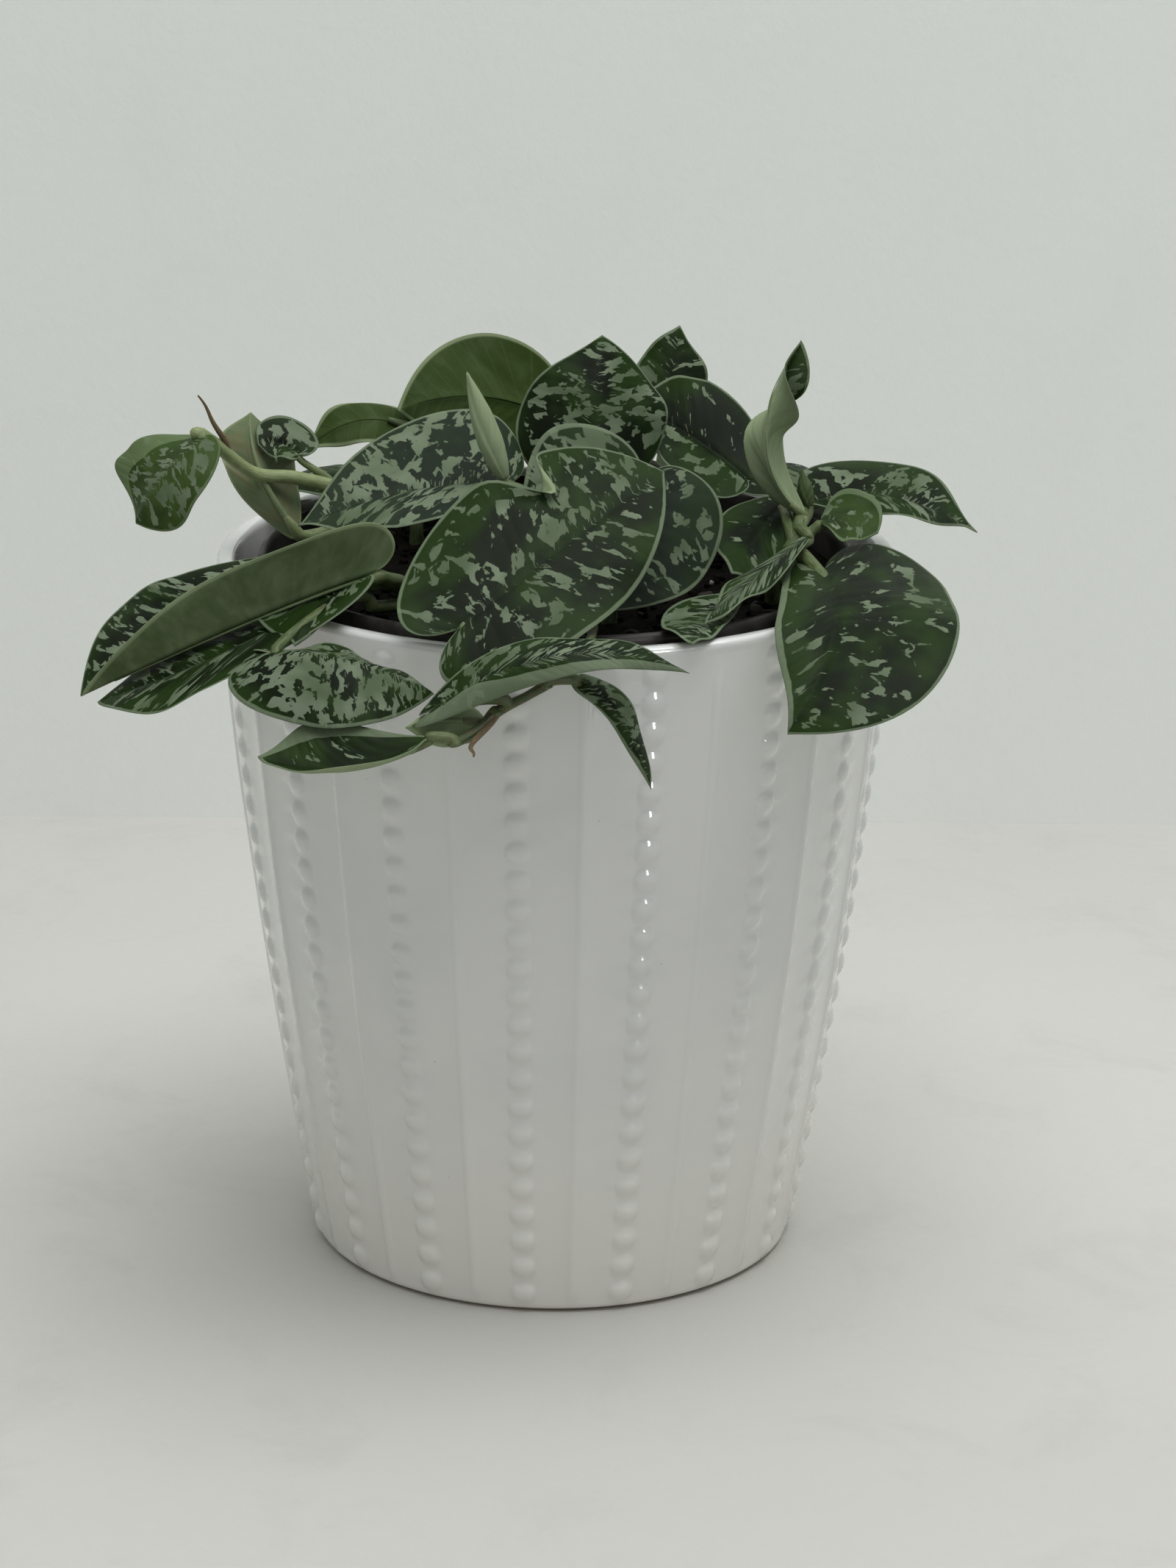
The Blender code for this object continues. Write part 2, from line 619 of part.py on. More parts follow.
def soil(parts, cutters):
    """The potting mix: a plug that fills the growing pot, with a gently uneven top and stem holes."""
    inset = GROWING_WALL + GAP
    bottom = FLOOR + GAP + GROWING_WALL + GAP
    edge = growing_wall(SOIL_TOP, inset)
    profile = [(0, SOIL_TOP)]
    profile += [(edge * share, SOIL_TOP) for share in (0.35, 0.65, 0.9)]
    shoulder = SOIL_TOP - 2 * SOIL_SWELL
    profile += [
        (growing_wall(shoulder, inset), shoulder),
        (growing_wall(bottom, inset), bottom),
        (0, bottom),
    ]
    plug = turned("soil", profile, GROWING_STEPS)
    graph = bpy.context.evaluated_depsgraph_get()
    mesh = bpy.data.meshes.new_from_object(plug.evaluated_get(graph))
    bpy.data.objects.remove(plug)
    for vert in mesh.vertices:
        x, y, z = vert.co
        if z > SOIL_TOP - SOIL_SWELL:
            vert.co.z = z + SOIL_SWELL * math.sin(140 * x + 1) * math.cos(170 * y + 2)
    plug = bpy.data.objects.new("soil", mesh)
    bpy.context.scene.collection.objects.link(plug)
    for vine in VINES + REAR_VINES:
        x, y, _ = (MM * value for value in vine.stem[0])
        place = (x, y, SOIL_TOP)
        cut(plug, cutters, place, MM * vine.radius + HOLE_CLEARANCE, 2 * HOLE_DEPTH)
    earth = finish_material("potting mix", (0.018, 0.014, 0.011), 0.95)
    return finished(plug, "soil", earth, parts, smooth_angle=20)


def tube(name, points, radii, resolution, collection):
    """A closed tube through points in millimetres, with its own radius at each."""
    curve = bpy.data.curves.new(name, "CURVE")
    curve.dimensions = "3D"
    curve.bevel_depth = MM
    curve.bevel_resolution = resolution
    curve.use_fill_caps = True
    spline = curve.splines.new("POLY")
    spline.points.add(len(points) - 1)
    for point, place, radius in zip(spline.points, points, radii):
        point.co = (*(MM * value for value in place), 1)
        point.radius = radius
    obj = bpy.data.objects.new(name, curve)
    bpy.context.scene.collection.objects.link(obj)
    graph = bpy.context.evaluated_depsgraph_get()
    mesh = bpy.data.meshes.new_from_object(obj.evaluated_get(graph))
    bpy.data.objects.remove(obj)
    bm = bmesh.new()
    bm.from_mesh(mesh)
    bpy.data.meshes.remove(mesh)
    bmesh.ops.remove_doubles(bm, verts=bm.verts, dist=1e-6)
    bmesh.ops.recalc_face_normals(bm, faces=bm.faces)
    result = new_object(name, bm)
    bpy.context.scene.collection.objects.unlink(result)
    collection.objects.link(result)
    return result


def new_piece(name, blade, collection):
    """A blade as a solid, in a collection: a sheet gets its thickness, and a roll has it."""
    obj = new_object(name, blade.mesh())
    bpy.context.scene.collection.objects.unlink(obj)
    collection.objects.link(obj)
    if isinstance(blade, Blade):
        solid = obj.modifiers.new("thickness", "SOLIDIFY")
        solid.thickness = BLADE_THICKNESS
        solid.offset = 0
    return obj


def petiole_path(blade, start):
    """From the stem to the base, and a little way on inside the midrib."""
    base, tangent, normal, sunk = blade.seat()
    reach = np.linalg.norm(base - start)
    lean = 0.75 * min(max((base[2] - start[2]) / reach + 0.2, 0), 1)
    leaving = start + np.array((0, 0, 0.30 * reach))
    arriving = base - (0.35 * tangent + lean * normal) * 0.38 * reach
    steps = min(max(round(reach / PETIOLE_STEP), 1), 4)
    path = cubic((start, leaving, arriving, base), np.linspace(0, 1, steps + 1))
    return np.vstack([path, sunk])


def vine_solid(vine, parts):
    """A stem with its petioles and blades, joined into one body."""
    joined = bpy.data.collections.new(vine.name + " pieces")
    bpy.context.scene.collection.children.link(joined)
    root = np.array(vine.stem[0], float)
    below = root - (0, 0, HOLE_DEPTH / MM - 1)
    path = np.vstack([below, smooth_path((root, root + (0, 0, UPRIGHT), *vine.stem[1:]), 2)])
    radii = vine.radius * (1 + 0.18 * (np.arange(len(path)) % 2))
    radii[[0, -1]] = vine.radius * np.array((0.9, 0.8))
    stem = tube(vine.name, path, radii, STEM_SIDES, bpy.context.scene.collection)
    above = path[1:]
    places = np.linspace(0, 1, len(above))
    for number, leaf in enumerate(vine.leaves):
        start = np.array([np.interp(leaf.joint, places, c) for c in above.T])
        blade = Blade(leaf) if isinstance(leaf, Leaf) else RolledBlade(leaf)
        line = petiole_path(blade, start)
        widths = leaf.petiole * np.linspace(1.2, 1, len(line))
        widths[-1] = 0.5 * leaf.petiole
        tube(f"petiole_{number}", line, widths, PETIOLE_SIDES, joined)
        new_piece(f"blade_{number}", blade, joined)
    for number, bract in enumerate(vine.bracts):
        tube(f"bract_{number}", bract, np.linspace(0.9, 0.4, len(bract)), PETIOLE_SIDES, joined)
    union = stem.modifiers.new("join", "BOOLEAN")
    union.operation = "UNION"
    union.operand_type = "COLLECTION"
    union.collection = joined
    green = finish_material("leaf green", (0.05, 0.11, 0.04), 0.5)
    result = finished(stem, vine.name, green, parts, smooth_angle=50)
    for obj in list(joined.objects):
        bpy.data.objects.remove(obj)
    bpy.data.collections.remove(joined)
    return result


def rear_leaf(joint, azimuth, radius, height, length, droop):
    """A leaf on the far side that points outward, at an azimuth clockwise from +Y."""
    a = math.radians(azimuth)
    out, aside = np.array((math.sin(a), math.cos(a), 0)), np.array((math.cos(a), -math.sin(a), 0))
    up = np.array((0, 0, 1))
    base = radius * out + height * up
    crown = base + 0.5 * length * out
    tip = base + 0.92 * length * out - droop * up
    widest = base + 0.36 * length * out - 2 * up
    half = 0.36 * length
    places = (base, crown, tip, widest - half * aside, widest + half * aside)
    return Leaf(joint, *(tuple(np.round(p)) for p in places), rows=6)


REAR_VINES = (
    Vine(
        "vine_rear_left",
        ((-34, 30, 163), (-35, 32, 171), (-37, 36, 177)),
        1.7,
        (
            rear_leaf(0.8, -56, 54, 178, 36, 12),
            rear_leaf(1.0, -26, 53, 180, 40, 15),
        ),
    ),
    Vine(
        "vine_rear",
        ((4, 44, 163), (4, 45, 174), (6, 46, 182)),
        1.7,
        (
            rear_leaf(0.8, 2, 56, 181, 42, 18),
            rear_leaf(1.0, 12, 38, 196, 38, 8),
            rear_leaf(1.0, -24, 40, 192, 34, 6),
        ),
    ),
    Vine(
        "vine_rear_right",
        ((36, 34, 163), (37, 36, 171), (40, 40, 177)),
        1.7,
        (
            rear_leaf(0.9, 28, 54, 182, 42, 18),
            rear_leaf(1.0, 55, 54, 179, 38, 14),
        ),
    ),
)


def main():
    """Clears the scene and builds every piece."""
    for obj in list(bpy.data.objects):
        bpy.data.objects.remove(obj)
    bpy.context.scene.unit_settings.system = "METRIC"
    parts = bpy.data.collections.new("satin pothos")
    cutters = bpy.data.collections.new("cutters")
    for collection in (parts, cutters):
        bpy.context.scene.collection.children.link(collection)
    cover_pot(parts)
    growing_pot(parts, cutters)
    soil(parts, cutters)
    for vine in VINES + REAR_VINES:
        vine_solid(vine, parts)
    for cutter in list(cutters.objects):
        bpy.data.objects.remove(cutter)


main()
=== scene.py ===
"""Looks of a satin pothos in its glazed cover pot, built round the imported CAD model.

Metres, +Z up. The origin is the middle of the cover pot's underside, and the front faces -Y.
Leaf and stem places are in millimetres, as in the CAD source, and scaled once.
"""

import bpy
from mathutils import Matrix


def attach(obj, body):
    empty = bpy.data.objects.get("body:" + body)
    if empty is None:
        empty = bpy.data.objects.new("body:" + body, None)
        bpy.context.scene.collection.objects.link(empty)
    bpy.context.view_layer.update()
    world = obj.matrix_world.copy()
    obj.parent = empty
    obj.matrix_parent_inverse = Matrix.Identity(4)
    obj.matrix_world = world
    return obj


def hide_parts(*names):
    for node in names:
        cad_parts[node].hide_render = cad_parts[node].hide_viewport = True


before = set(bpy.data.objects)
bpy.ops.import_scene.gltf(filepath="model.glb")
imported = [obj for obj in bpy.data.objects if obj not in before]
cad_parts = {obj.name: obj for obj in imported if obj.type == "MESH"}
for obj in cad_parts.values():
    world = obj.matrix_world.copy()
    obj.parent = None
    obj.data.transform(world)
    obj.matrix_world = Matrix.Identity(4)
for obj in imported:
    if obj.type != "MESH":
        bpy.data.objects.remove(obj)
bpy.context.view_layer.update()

import logging
import math
import random
from dataclasses import dataclass, field
from enum import Enum

import bmesh
import bpy
import numpy as np
from mathutils import Matrix, Vector, noise

Array = np.ndarray
Place = tuple[float, float, float]
Object = bpy.types.Object
Material = bpy.types.Material
MM = 0.001
WELD = 2e-6  # metres within which points become one
VEIN_GAP = 3.4  # mm between side veins
NO_MARGIN = 9  # mm, further from a pale margin than its colour reaches
FULL_TURN = 2 * math.pi
LOG = logging.getLogger("satin_pothos")


class Slot(Enum):
    """The record's material slots."""

    GLAZE = "glaze"
    PLASTIC = "dark_plastic"
    SOIL = "potting_mix"
    LEAVES = "leaves"


class Skin(Enum):
    """The kinds of plant surface, numbered as a vine's material slots."""

    TOP = 0
    UNDERSIDE = 1
    STALK = 2
    DRY = 3


class Side(Enum):
    """The two halves of a blade, seen from its top with the tip pointing away."""

    LEFT = -1
    RIGHT = 1


@dataclass
class Value:
    """One output in a material under construction. Arithmetic on it adds nodes."""

    shade: "Shade"
    socket: bpy.types.NodeSocket

    def __add__(self, other: object) -> "Value":
        """The sum with a value or a number."""
        return self.shade.maths("ADD", self, other)

    def __sub__(self, other: object) -> "Value":
        """What is left when a value or a number is taken away."""
        return self.shade.maths("SUBTRACT", self, other)

    def __rsub__(self, other: object) -> "Value":
        """What is left when this is taken from a number."""
        return self.shade.maths("SUBTRACT", other, self)

    def __mul__(self, other: object) -> "Value":
        """The product with a value or a number."""
        return self.shade.maths("MULTIPLY", self, other)

    def __truediv__(self, other: object) -> "Value":
        """The quotient by a value or a number."""
        return self.shade.maths("DIVIDE", self, other)

    def __abs__(self) -> "Value":
        """The value without its sign."""
        return self.shade.maths("ABSOLUTE", self)

    def parts(self) -> list["Value"]:
        """A vector's three values."""
        split = self.shade.node("ShaderNodeSeparateXYZ", {}, {0: self})
        return [Value(self.shade, socket) for socket in split.outputs]

    def spread(self, low: float, high: float, to_low: float = 0.0, to_high: float = 1.0) -> "Value":
        """The value moved softly from one range to another and clamped.

        Args:
            low: Start of its range.
            high: End of its range.
            to_low: What low becomes.
            to_high: What high becomes.

        Returns:
            The moved value.
        """
        inputs = {0: self, 1: low, 2: high, 3: to_low, 4: to_high}
        return self.shade.read("ShaderNodeMapRange", {"interpolation_type": "SMOOTHSTEP"}, inputs)

    def mix(self, first: object, second: object) -> "Value":
        """Two colours mixed, with this value as the second one's share."""
        return self.shade.read("ShaderNodeMix", {"data_type": "RGBA"}, {0: self, 6: first, 7: second}, 2)


@dataclass
class Shade:
    """One material under construction."""

    name: str

    def __post_init__(self) -> None:
        """Starts a material with a Principled shader."""
        self.material = bpy.data.materials.new(self.name)
        self.material.use_nodes = True
        self.tree = self.material.node_tree
        self.shader = self.tree.nodes["Principled BSDF"]

    def node(self, kind: str, settings: dict, inputs: dict) -> bpy.types.Node:
        """Adds a node.

        Args:
            kind: The node's type name.
            settings: Values of the node's own properties.
            inputs: Input names or numbers, each with a value or a number.

        Returns:
            The new node.
        """
        made = self.tree.nodes.new(kind)
        for name, value in settings.items():
            setattr(made, name, value)
        for name, value in inputs.items():
            self.feed(made.inputs[name], value)
        return made

    def read(self, kind: str, settings: dict, inputs: dict, output: int | str = 0) -> Value:
        """Adds a node and gives back one of its outputs."""
        return Value(self, self.node(kind, settings, inputs).outputs[output])

    def feed(self, entry: bpy.types.NodeSocket, value: object) -> None:
        """Links an input to a value, or sets it to a number or a colour.

        Args:
            entry: The input.
            value: What it gets.
        """
        if isinstance(value, Value):
            self.tree.links.new(value.socket, entry)
        elif isinstance(value, tuple) and entry.type == "RGBA":
            entry.default_value = (*value, 1)
        else:
            entry.default_value = value

    def attribute(self, name: str) -> list[Value]:
        """The three numbers that a mesh holds at each point under a name."""
        return self.read("ShaderNodeAttribute", {"attribute_name": name}, {}, "Vector").parts()

    def place(self) -> Value:
        """The point's place in the object."""
        return self.read("ShaderNodeTexCoord", {}, {}, "Object")

    def vector(self, x: object, y: object, z: object) -> Value:
        """A vector from three values."""
        return self.read("ShaderNodeCombineXYZ", {}, {0: x, 1: y, 2: z})

    def maths(self, operation: str, *values: object) -> Value:
        """One arithmetic step."""
        return self.read("ShaderNodeMath", {"operation": operation}, dict(enumerate(values)))

    def noise(self, vector: Value, scale: float, detail: float = 2, rough: float = 0.5,
              bend: float = 0) -> Value:
        """Soft noise from 0 to 1.

        Args:
            vector: Where it is read.
            scale: How fine it is.
            detail: How many finer layers it has.
            rough: How strong these are.
            bend: How much it is distorted.

        Returns:
            The noise.
        """
        inputs = {"Vector": vector, "Scale": scale, "Detail": detail, "Roughness": rough, "Distortion": bend}
        return self.read("ShaderNodeTexNoise", {}, inputs)

    def cells(self, vector: Value, scale: float, output: str = "Distance") -> Value:
        """A cell pattern: the distance from its points, or another output of it."""
        return self.read("ShaderNodeTexVoronoi", {}, {"Vector": vector, "Scale": scale}, output)

    def finish(self, colour: object, roughness: object, height: Value, depth: float, gloss: float = 0.5,
               coat: tuple[float, float] = (0.0, 0.03)) -> Material:
        """Sets the shader's inputs.

        Args:
            colour: Base colour.
            roughness: Roughness.
            height: What the bump follows.
            depth: How deep the bump is, in metres.
            gloss: How strongly it mirrors.
            coat: Weight and roughness of a clear coat.

        Returns:
            The finished material.
        """
        bump = self.read("ShaderNodeBump", {}, {"Strength": 1.0, "Distance": depth, "Height": height})
        wanted = {"Base Color": colour, "Roughness": roughness, "Normal": bump, "Specular IOR Level": gloss,
                  "Coat Weight": coat[0], "Coat Roughness": coat[1]}
        for name, value in wanted.items():
            self.feed(self.shader.inputs[name], value)
        return self.material

    def open_behind(self) -> None:
        """Lets the surface be looked through from its back."""
        behind = self.read("ShaderNodeNewGeometry", {}, {}, "Backfacing")
        clear = self.read("ShaderNodeBsdfTransparent", {}, {})
        painted = Value(self, self.shader.outputs[0])
        either = self.read("ShaderNodeMixShader", {}, {0: behind, 1: painted, 2: clear})
        self.feed(self.tree.nodes["Material Output"].inputs["Surface"], either)


class PlantShade(Shade):
    """A material of the plant, with the values that its meshes hold at each point."""

    def __post_init__(self) -> None:
        """Starts the material and reads the values."""
        super().__post_init__()
        self.across, self.along, self.seed = self.attribute("veins")
        self.silver, self.margin, _ = self.attribute("leaf")
        self.pale, self.brown, self.fresh_or_sheen = self.attribute("tint")

    def veined(self, wide: float, long: float) -> Value:
        """The place in a pattern with steps of so many mm across and along the side veins."""
        return self.vector(self.across / wide, self.along / long, self.seed)

    def beat(self) -> Value:
        """0 on each side vein and 1 between two."""
        return abs(self.maths("SINE", self.across * (math.pi / VEIN_GAP)))


@dataclass(frozen=True)
class Finish:
    """Colours and gloss of one kind of surface."""

    title: str

    def material(self) -> Material:
        """The material, made once and then shared."""
        return bpy.data.materials.get(self.title) or self.paint()

    def paint(self) -> Material:
        """Makes the material."""
        raise NotImplementedError


@dataclass(frozen=True)
class Glaze(Finish):
    """Thick white glaze on the cover pot, warmer towards the foot and paler there as painted light on the
    lower pot, with a bare clay edge.
    """

    title: str = "white glaze"
    white: Place = (0.68, 0.685, 0.67)
    cool: Place = (0.645, 0.655, 0.645)
    # warm tint of the foot, made paler as painted light so the lower pot shows brighter than the shaded
    # upper part
    warm_and_lit: Place = (0.77, 0.755, 0.715)
    speck: Place = (0.33, 0.28, 0.22)
    clay: Place = (0.52, 0.44, 0.35)
    roughness: tuple[float, float] = (0.10, 0.24)
    coat: tuple[float, float] = (0.9, 0.07)
    warm_lit_range: tuple[float, float] = (0.115, 0.02)  # metres of height
    clay_range: tuple[float, float] = (0.0011, 0.0004)
    bump: float = 0.00007

    def paint(self) -> Material:
        """Makes the material.

        Returns:
            The glaze.
        """
        shade = Shade(self.title)
        place = shade.place()
        height = place.parts()[2]
        clouds = shade.noise(place, 26, 3, 0.55, 0.3)
        colour = clouds.spread(0.38, 0.64).mix(self.white, self.cool)
        # share of the foot colour: a warm tint plus painted light, lighter towards the foot
        low = (height + clouds * 0.03).spread(*self.warm_lit_range)
        colour = (low * 0.9).mix(colour, self.warm_and_lit)
        specks = shade.cells(place, 420).spread(0.10, 0.05)
        rare = shade.noise(place, 160, 1).spread(0.68, 0.72)
        colour = (specks * rare).mix(colour, self.speck)
        bare = height.spread(*self.clay_range)
        sheen = shade.noise(place, 70, 3).spread(0.3, 0.7, *self.roughness)
        skin = shade.noise(place, 240, 1) + shade.noise(place, 900, 2, 0.6) * 0.15
        return shade.finish(bare.mix(colour, self.clay), shade.maths("MAXIMUM", sheen, bare * 0.8), skin,
                            self.bump, coat=self.coat)


@dataclass(frozen=True)
class Plastic(Finish):
    """Dark brown-grey moulded plastic with scuffs and a dusty rim."""

    title: str = "dark plastic"
    dark: Place = (0.014, 0.013, 0.012)
    worn: Place = (0.070, 0.064, 0.056)
    rim_range: tuple[float, float] = (0.155, 0.1685)  # metres of height
    bump: float = 0.00005

    def paint(self) -> Material:
        """Makes the material.

        Returns:
            The plastic.
        """
        shade = Shade(self.title)
        place = shade.place()
        x, y, height = place.parts()
        dust = shade.noise(place, 60, 4, 0.65, 0.5)
        share = dust.spread(0.35, 0.7) * height.spread(*self.rim_range, 0.10, 0.60)
        scuffs = shade.noise(shade.vector(x * 900, y * 900, height * 60), 1, 2)
        return shade.finish(share.mix(self.dark, self.worn), dust.spread(0.3, 0.75, 0.34, 0.62), scuffs,
                            self.bump, gloss=0.25)


@dataclass(frozen=True)
class PottingMix(Finish):
    """Damp dark potting mix with paler strands, its near-black colours partly painted shade under the
    leaves.
    """

    title: str = "potting mix"
    # near black: the mix's own dark brown, darkened further as painted shade where the leaves cover it
    dark: Place = (0.0030, 0.0026, 0.0023)
    brown: Place = (0.012, 0.0085, 0.006)
    strand: Place = (0.028, 0.019, 0.012)
    bump: float = 0.0006

    def paint(self) -> Material:
        """Makes the material.

        Returns:
            The mix.
        """
        shade = Shade(self.title)
        place = shade.place()
        lumps = shade.noise(place, 230, 5, 0.7, 0.4)
        colour = lumps.spread(0.45, 0.75).mix(self.dark, self.brown)
        strands = shade.noise(place, 700, 2, 0.5, 2.5).spread(0.62, 0.72)
        colour = (strands * 0.6).mix(colour, self.strand)
        return shade.finish(colour, lumps.spread(0.3, 0.7, 0.72, 0.96), lumps, self.bump, gloss=0.06)


@dataclass(frozen=True)
class Chip(Finish):
    """Bark chips or white grains in the mix."""

    dark: Place
    light: Place
    bump: float = 0.0003

    def paint(self) -> Material:
        """Makes the material.

        Returns:
            The chips' material.
        """
        shade = Shade(self.title)
        grain = shade.noise(shade.place(), 500, 4, 0.7)
        colour = grain.spread(0.35, 0.65).mix(self.dark, self.light)
        return shade.finish(colour, grain.spread(0.3, 0.7, 0.7, 0.95), grain, self.bump)


@dataclass(frozen=True)
class LeafTop(Finish):
    """The blade's top: satin dark green with silver patches drawn out along the side veins."""

    title: str = "leaf top"
    dark: Place = (0.0050, 0.0092, 0.0036)
    green: Place = (0.0135, 0.0310, 0.0055)
    # painted bluish sheen: a reflection of the sky, mixed in on leaves whose freshness value is set below 0
    cool: Place = (0.0190, 0.0300, 0.0200)
    young: Place = (0.090, 0.155, 0.036)
    silver: Place = (0.165, 0.208, 0.138)
    dull: Place = (0.085, 0.118, 0.066)
    edge: Place = (0.160, 0.205, 0.130)
    patch: tuple[float, float] = (2.9, 5.2)  # mm across and along the side veins, as for the next four
    block: tuple[float, float] = (2.0, 3.6)
    ragged: tuple[float, float] = (0.9, 2.0)
    region: tuple[float, float] = (11, 16)
    streak: tuple[float, float] = (0.9, 6.0)
    limits: tuple[float, float] = (0.76, 0.28)  # of the pattern with no silver and with nothing else
    bump: float = 0.00022

    def pattern(self, shade: PlantShade) -> Value:
        """Where the silver lies: large ragged patches, and fine streaks beside the midrib.

        Args:
            shade: The material.

        Returns:
            1 on the silver and 0 beside it.
        """
        value = shade.noise(shade.veined(*self.patch), 1, 2.5, 0.52, 0.45)
        block = shade.cells(shade.veined(*self.block), 1, "Color").parts()[0]
        ragged = shade.noise(shade.veined(*self.ragged), 1, 2, 0.6)
        region = shade.noise(shade.veined(*self.region), 1, 1)
        for part, weight in ((block, 0.20), (ragged, 0.12), (region, 0.20)):
            value = value + (part - 0.5) * weight
        streaks = shade.noise(shade.veined(*self.streak), 1, 2, 0.6, 0.8)
        near = abs(shade.along).spread(2.8, 0.6, 0.0, 0.75)
        value = value * (1 - near) + (streaks - 0.035) * near
        value = value + shade.margin.spread(0.8, 2.6, -0.10, 0.0)
        return (value - shade.silver.spread(0, 1, *self.limits)).spread(-0.014, 0.020)

    def paint(self) -> Material:
        """Makes the material.

        Returns:
            The top's material.
        """
        shade = PlantShade(self.title)
        mask = self.pattern(shade)
        tone = shade.noise(shade.veined(12, 12), 1, 2)
        outer = tone.spread(0.35, 0.7) + shade.margin.spread(9.0, 1.0, 0.0, 0.45)
        green = outer.spread(0.1, 1.1).mix(self.dark, self.green)
        green = (shade.fresh_or_sheen.spread(0, 1) * tone.spread(0.25, 0.6, 0.6, 1.0)).mix(green, self.young)
        # painted bluish sheen on leaves with a freshness value below 0
        green = shade.fresh_or_sheen.spread(0, -1).mix(green, self.cool)
        silver = tone.spread(0.3, 0.7).mix(self.silver, self.dull)
        colour = (mask * 0.94).mix(green, silver)
        worn = shade.noise(shade.veined(5, 5), 1, 2)
        rim = (shade.margin - worn * 0.7).spread(0.34, 0.02)
        edge = shade.fresh_or_sheen.spread(0, 0.8).mix(self.edge, self.young)
        colour = (rim * 0.75).mix(colour, edge)
        pores = shade.noise(shade.place(), 2600, 2, 0.6)
        rough = (pores - 0.5) * 0.25 + mask.spread(0, 1, 0.44, 0.56)
        relief = mask * 0.12 + shade.beat() * 0.22 + pores * 0.16
        return shade.finish(colour, rough, relief, self.bump, gloss=0.07)


@dataclass(frozen=True)
class LeafUnderside(Finish):
    """The blade's underside: matt, paler, with raised veins and some brown blotches; its pale colour is
    partly painted light, standing in for front light and light shining through the blade.
    """

    title: str = "leaf underside"
    deep: Place = (0.024, 0.046, 0.006)
    # pale end of the underside, made lighter as painted light: front light and light shining through the
    # blade
    pale: Place = (0.265, 0.330, 0.195)
    brown: Place = (0.15, 0.105, 0.045)
    vein: Place = (0.24, 0.30, 0.16)
    edge: Place = (0.27, 0.33, 0.19)
    bump: float = 0.00018

    def paint(self) -> Material:
        """Makes the material.

        Returns:
            The underside's material.
        """
        shade = PlantShade(self.title)
        cloud = shade.noise(shade.veined(5, 8), 1, 3, 0.55, 0.4)
        paleness = shade.pale + cloud.spread(0.3, 0.7, -0.07, 0.07)
        colour = paleness.spread(0, 1).mix(self.deep, self.pale)
        mottle = shade.noise(shade.veined(2.5, 7), 1, 3).spread(0.5, 0.62)
        colour = (mottle * 0.06).mix(colour, self.deep)
        colour = (cloud.spread(0.42, 0.62) * shade.brown).mix(colour, self.brown)
        beat = shade.beat()
        colour = (beat.spread(0.20, 0.03) * 0.05).mix(colour, self.vein)
        colour = shade.margin.spread(1.1, 0.4, 0.0, 0.6).mix(colour, self.edge)
        pores = shade.noise(shade.place(), 2200, 2, 0.6)
        relief = pores * 0.25 - beat * 0.10
        return shade.finish(colour, pores.spread(0.3, 0.7, 0.52, 0.68), relief, self.bump, gloss=0.09)


@dataclass(frozen=True)
class Stalk(Finish):
    """Stems and petioles: smooth and fleshy, from pale yellow-green to brown-green."""

    title: str = "stalk skin"
    # darkened as painted shade for stems that lie under the leaves
    green: Place = (0.050, 0.080, 0.028)
    pale: Place = (0.27, 0.33, 0.155)
    brown: Place = (0.095, 0.065, 0.032)
    streak: tuple[float, float] = (6.25, 1)  # mm along and round the stalk
    bump: float = 0.00016

    def paint(self) -> Material:
        """Makes the material.

        Returns:
            The stalks' material.
        """
        shade = PlantShade(self.title)
        streaks = shade.noise(shade.veined(*self.streak), 2.2, 3, 0.6)
        paleness = shade.pale + streaks.spread(0.3, 0.7, -0.12, 0.12)
        colour = paleness.spread(0, 1).mix(self.green, self.pale)
        scar = shade.noise(shade.veined(1, 1), 0.7, 4, 0.65).spread(0.42, 0.66)
        colour = (scar * shade.brown).mix(colour, self.brown)
        return shade.finish(colour, streaks.spread(0.3, 0.7, 0.36, 0.52), streaks, self.bump, gloss=0.25)


@dataclass(frozen=True)
class DryTissue(Finish):
    """Withered bracts and tendrils."""

    title: str = "dry tissue"
    brown: Place = (0.105, 0.066, 0.034)
    straw: Place = (0.26, 0.20, 0.115)
    fibre: tuple[float, float] = (5, 1)  # mm along and round the bract
    bump: float = 0.0003

    def paint(self) -> Material:
        """Makes the material.

        Returns:
            The dry tissue's material.
        """
        shade = PlantShade(self.title)
        fibres = shade.noise(shade.veined(*self.fibre), 3.0, 4, 0.7)
        colour = fibres.spread(0.36, 0.66).mix(self.brown, self.straw)
        return shade.finish(colour, fibres.spread(0.3, 0.7, 0.66, 0.9), fibres, self.bump, gloss=0.25)


@dataclass(frozen=True)
class Plain(Finish):
    """The room's wall or floor: pale paint or board with faint clouds, smudges and grain."""

    light: Place
    dim: Place
    roughness: float
    smudges: float
    open_behind: bool = False
    smudge: Place = (0.46, 0.45, 0.42)
    bump: float = 0.0001

    def paint(self) -> Material:
        """Makes the material.

        Returns:
            The surface's material.
        """
        shade = Shade(self.title)
        place = shade.place()
        colour = shade.noise(place, 2.2, 3, 0.55).spread(0.35, 0.65).mix(self.light, self.dim)
        worn = shade.noise(place, 21, 5, 0.68, 0.6).spread(0.50, 0.72)
        colour = (worn * self.smudges).mix(colour, self.smudge)
        if self.open_behind:
            shade.open_behind()
        grain = shade.noise(place, 350, 3, 0.6)
        rough = grain.spread(0.3, 0.7, self.roughness - 0.06, self.roughness + 0.06)
        return shade.finish(colour, rough, grain, self.bump, gloss=0.3)


def unit(vectors: Array) -> Array:
    """The same vectors with length 1."""
    return vectors / np.maximum(np.linalg.norm(vectors, axis=-1, keepdims=True), 1e-12)


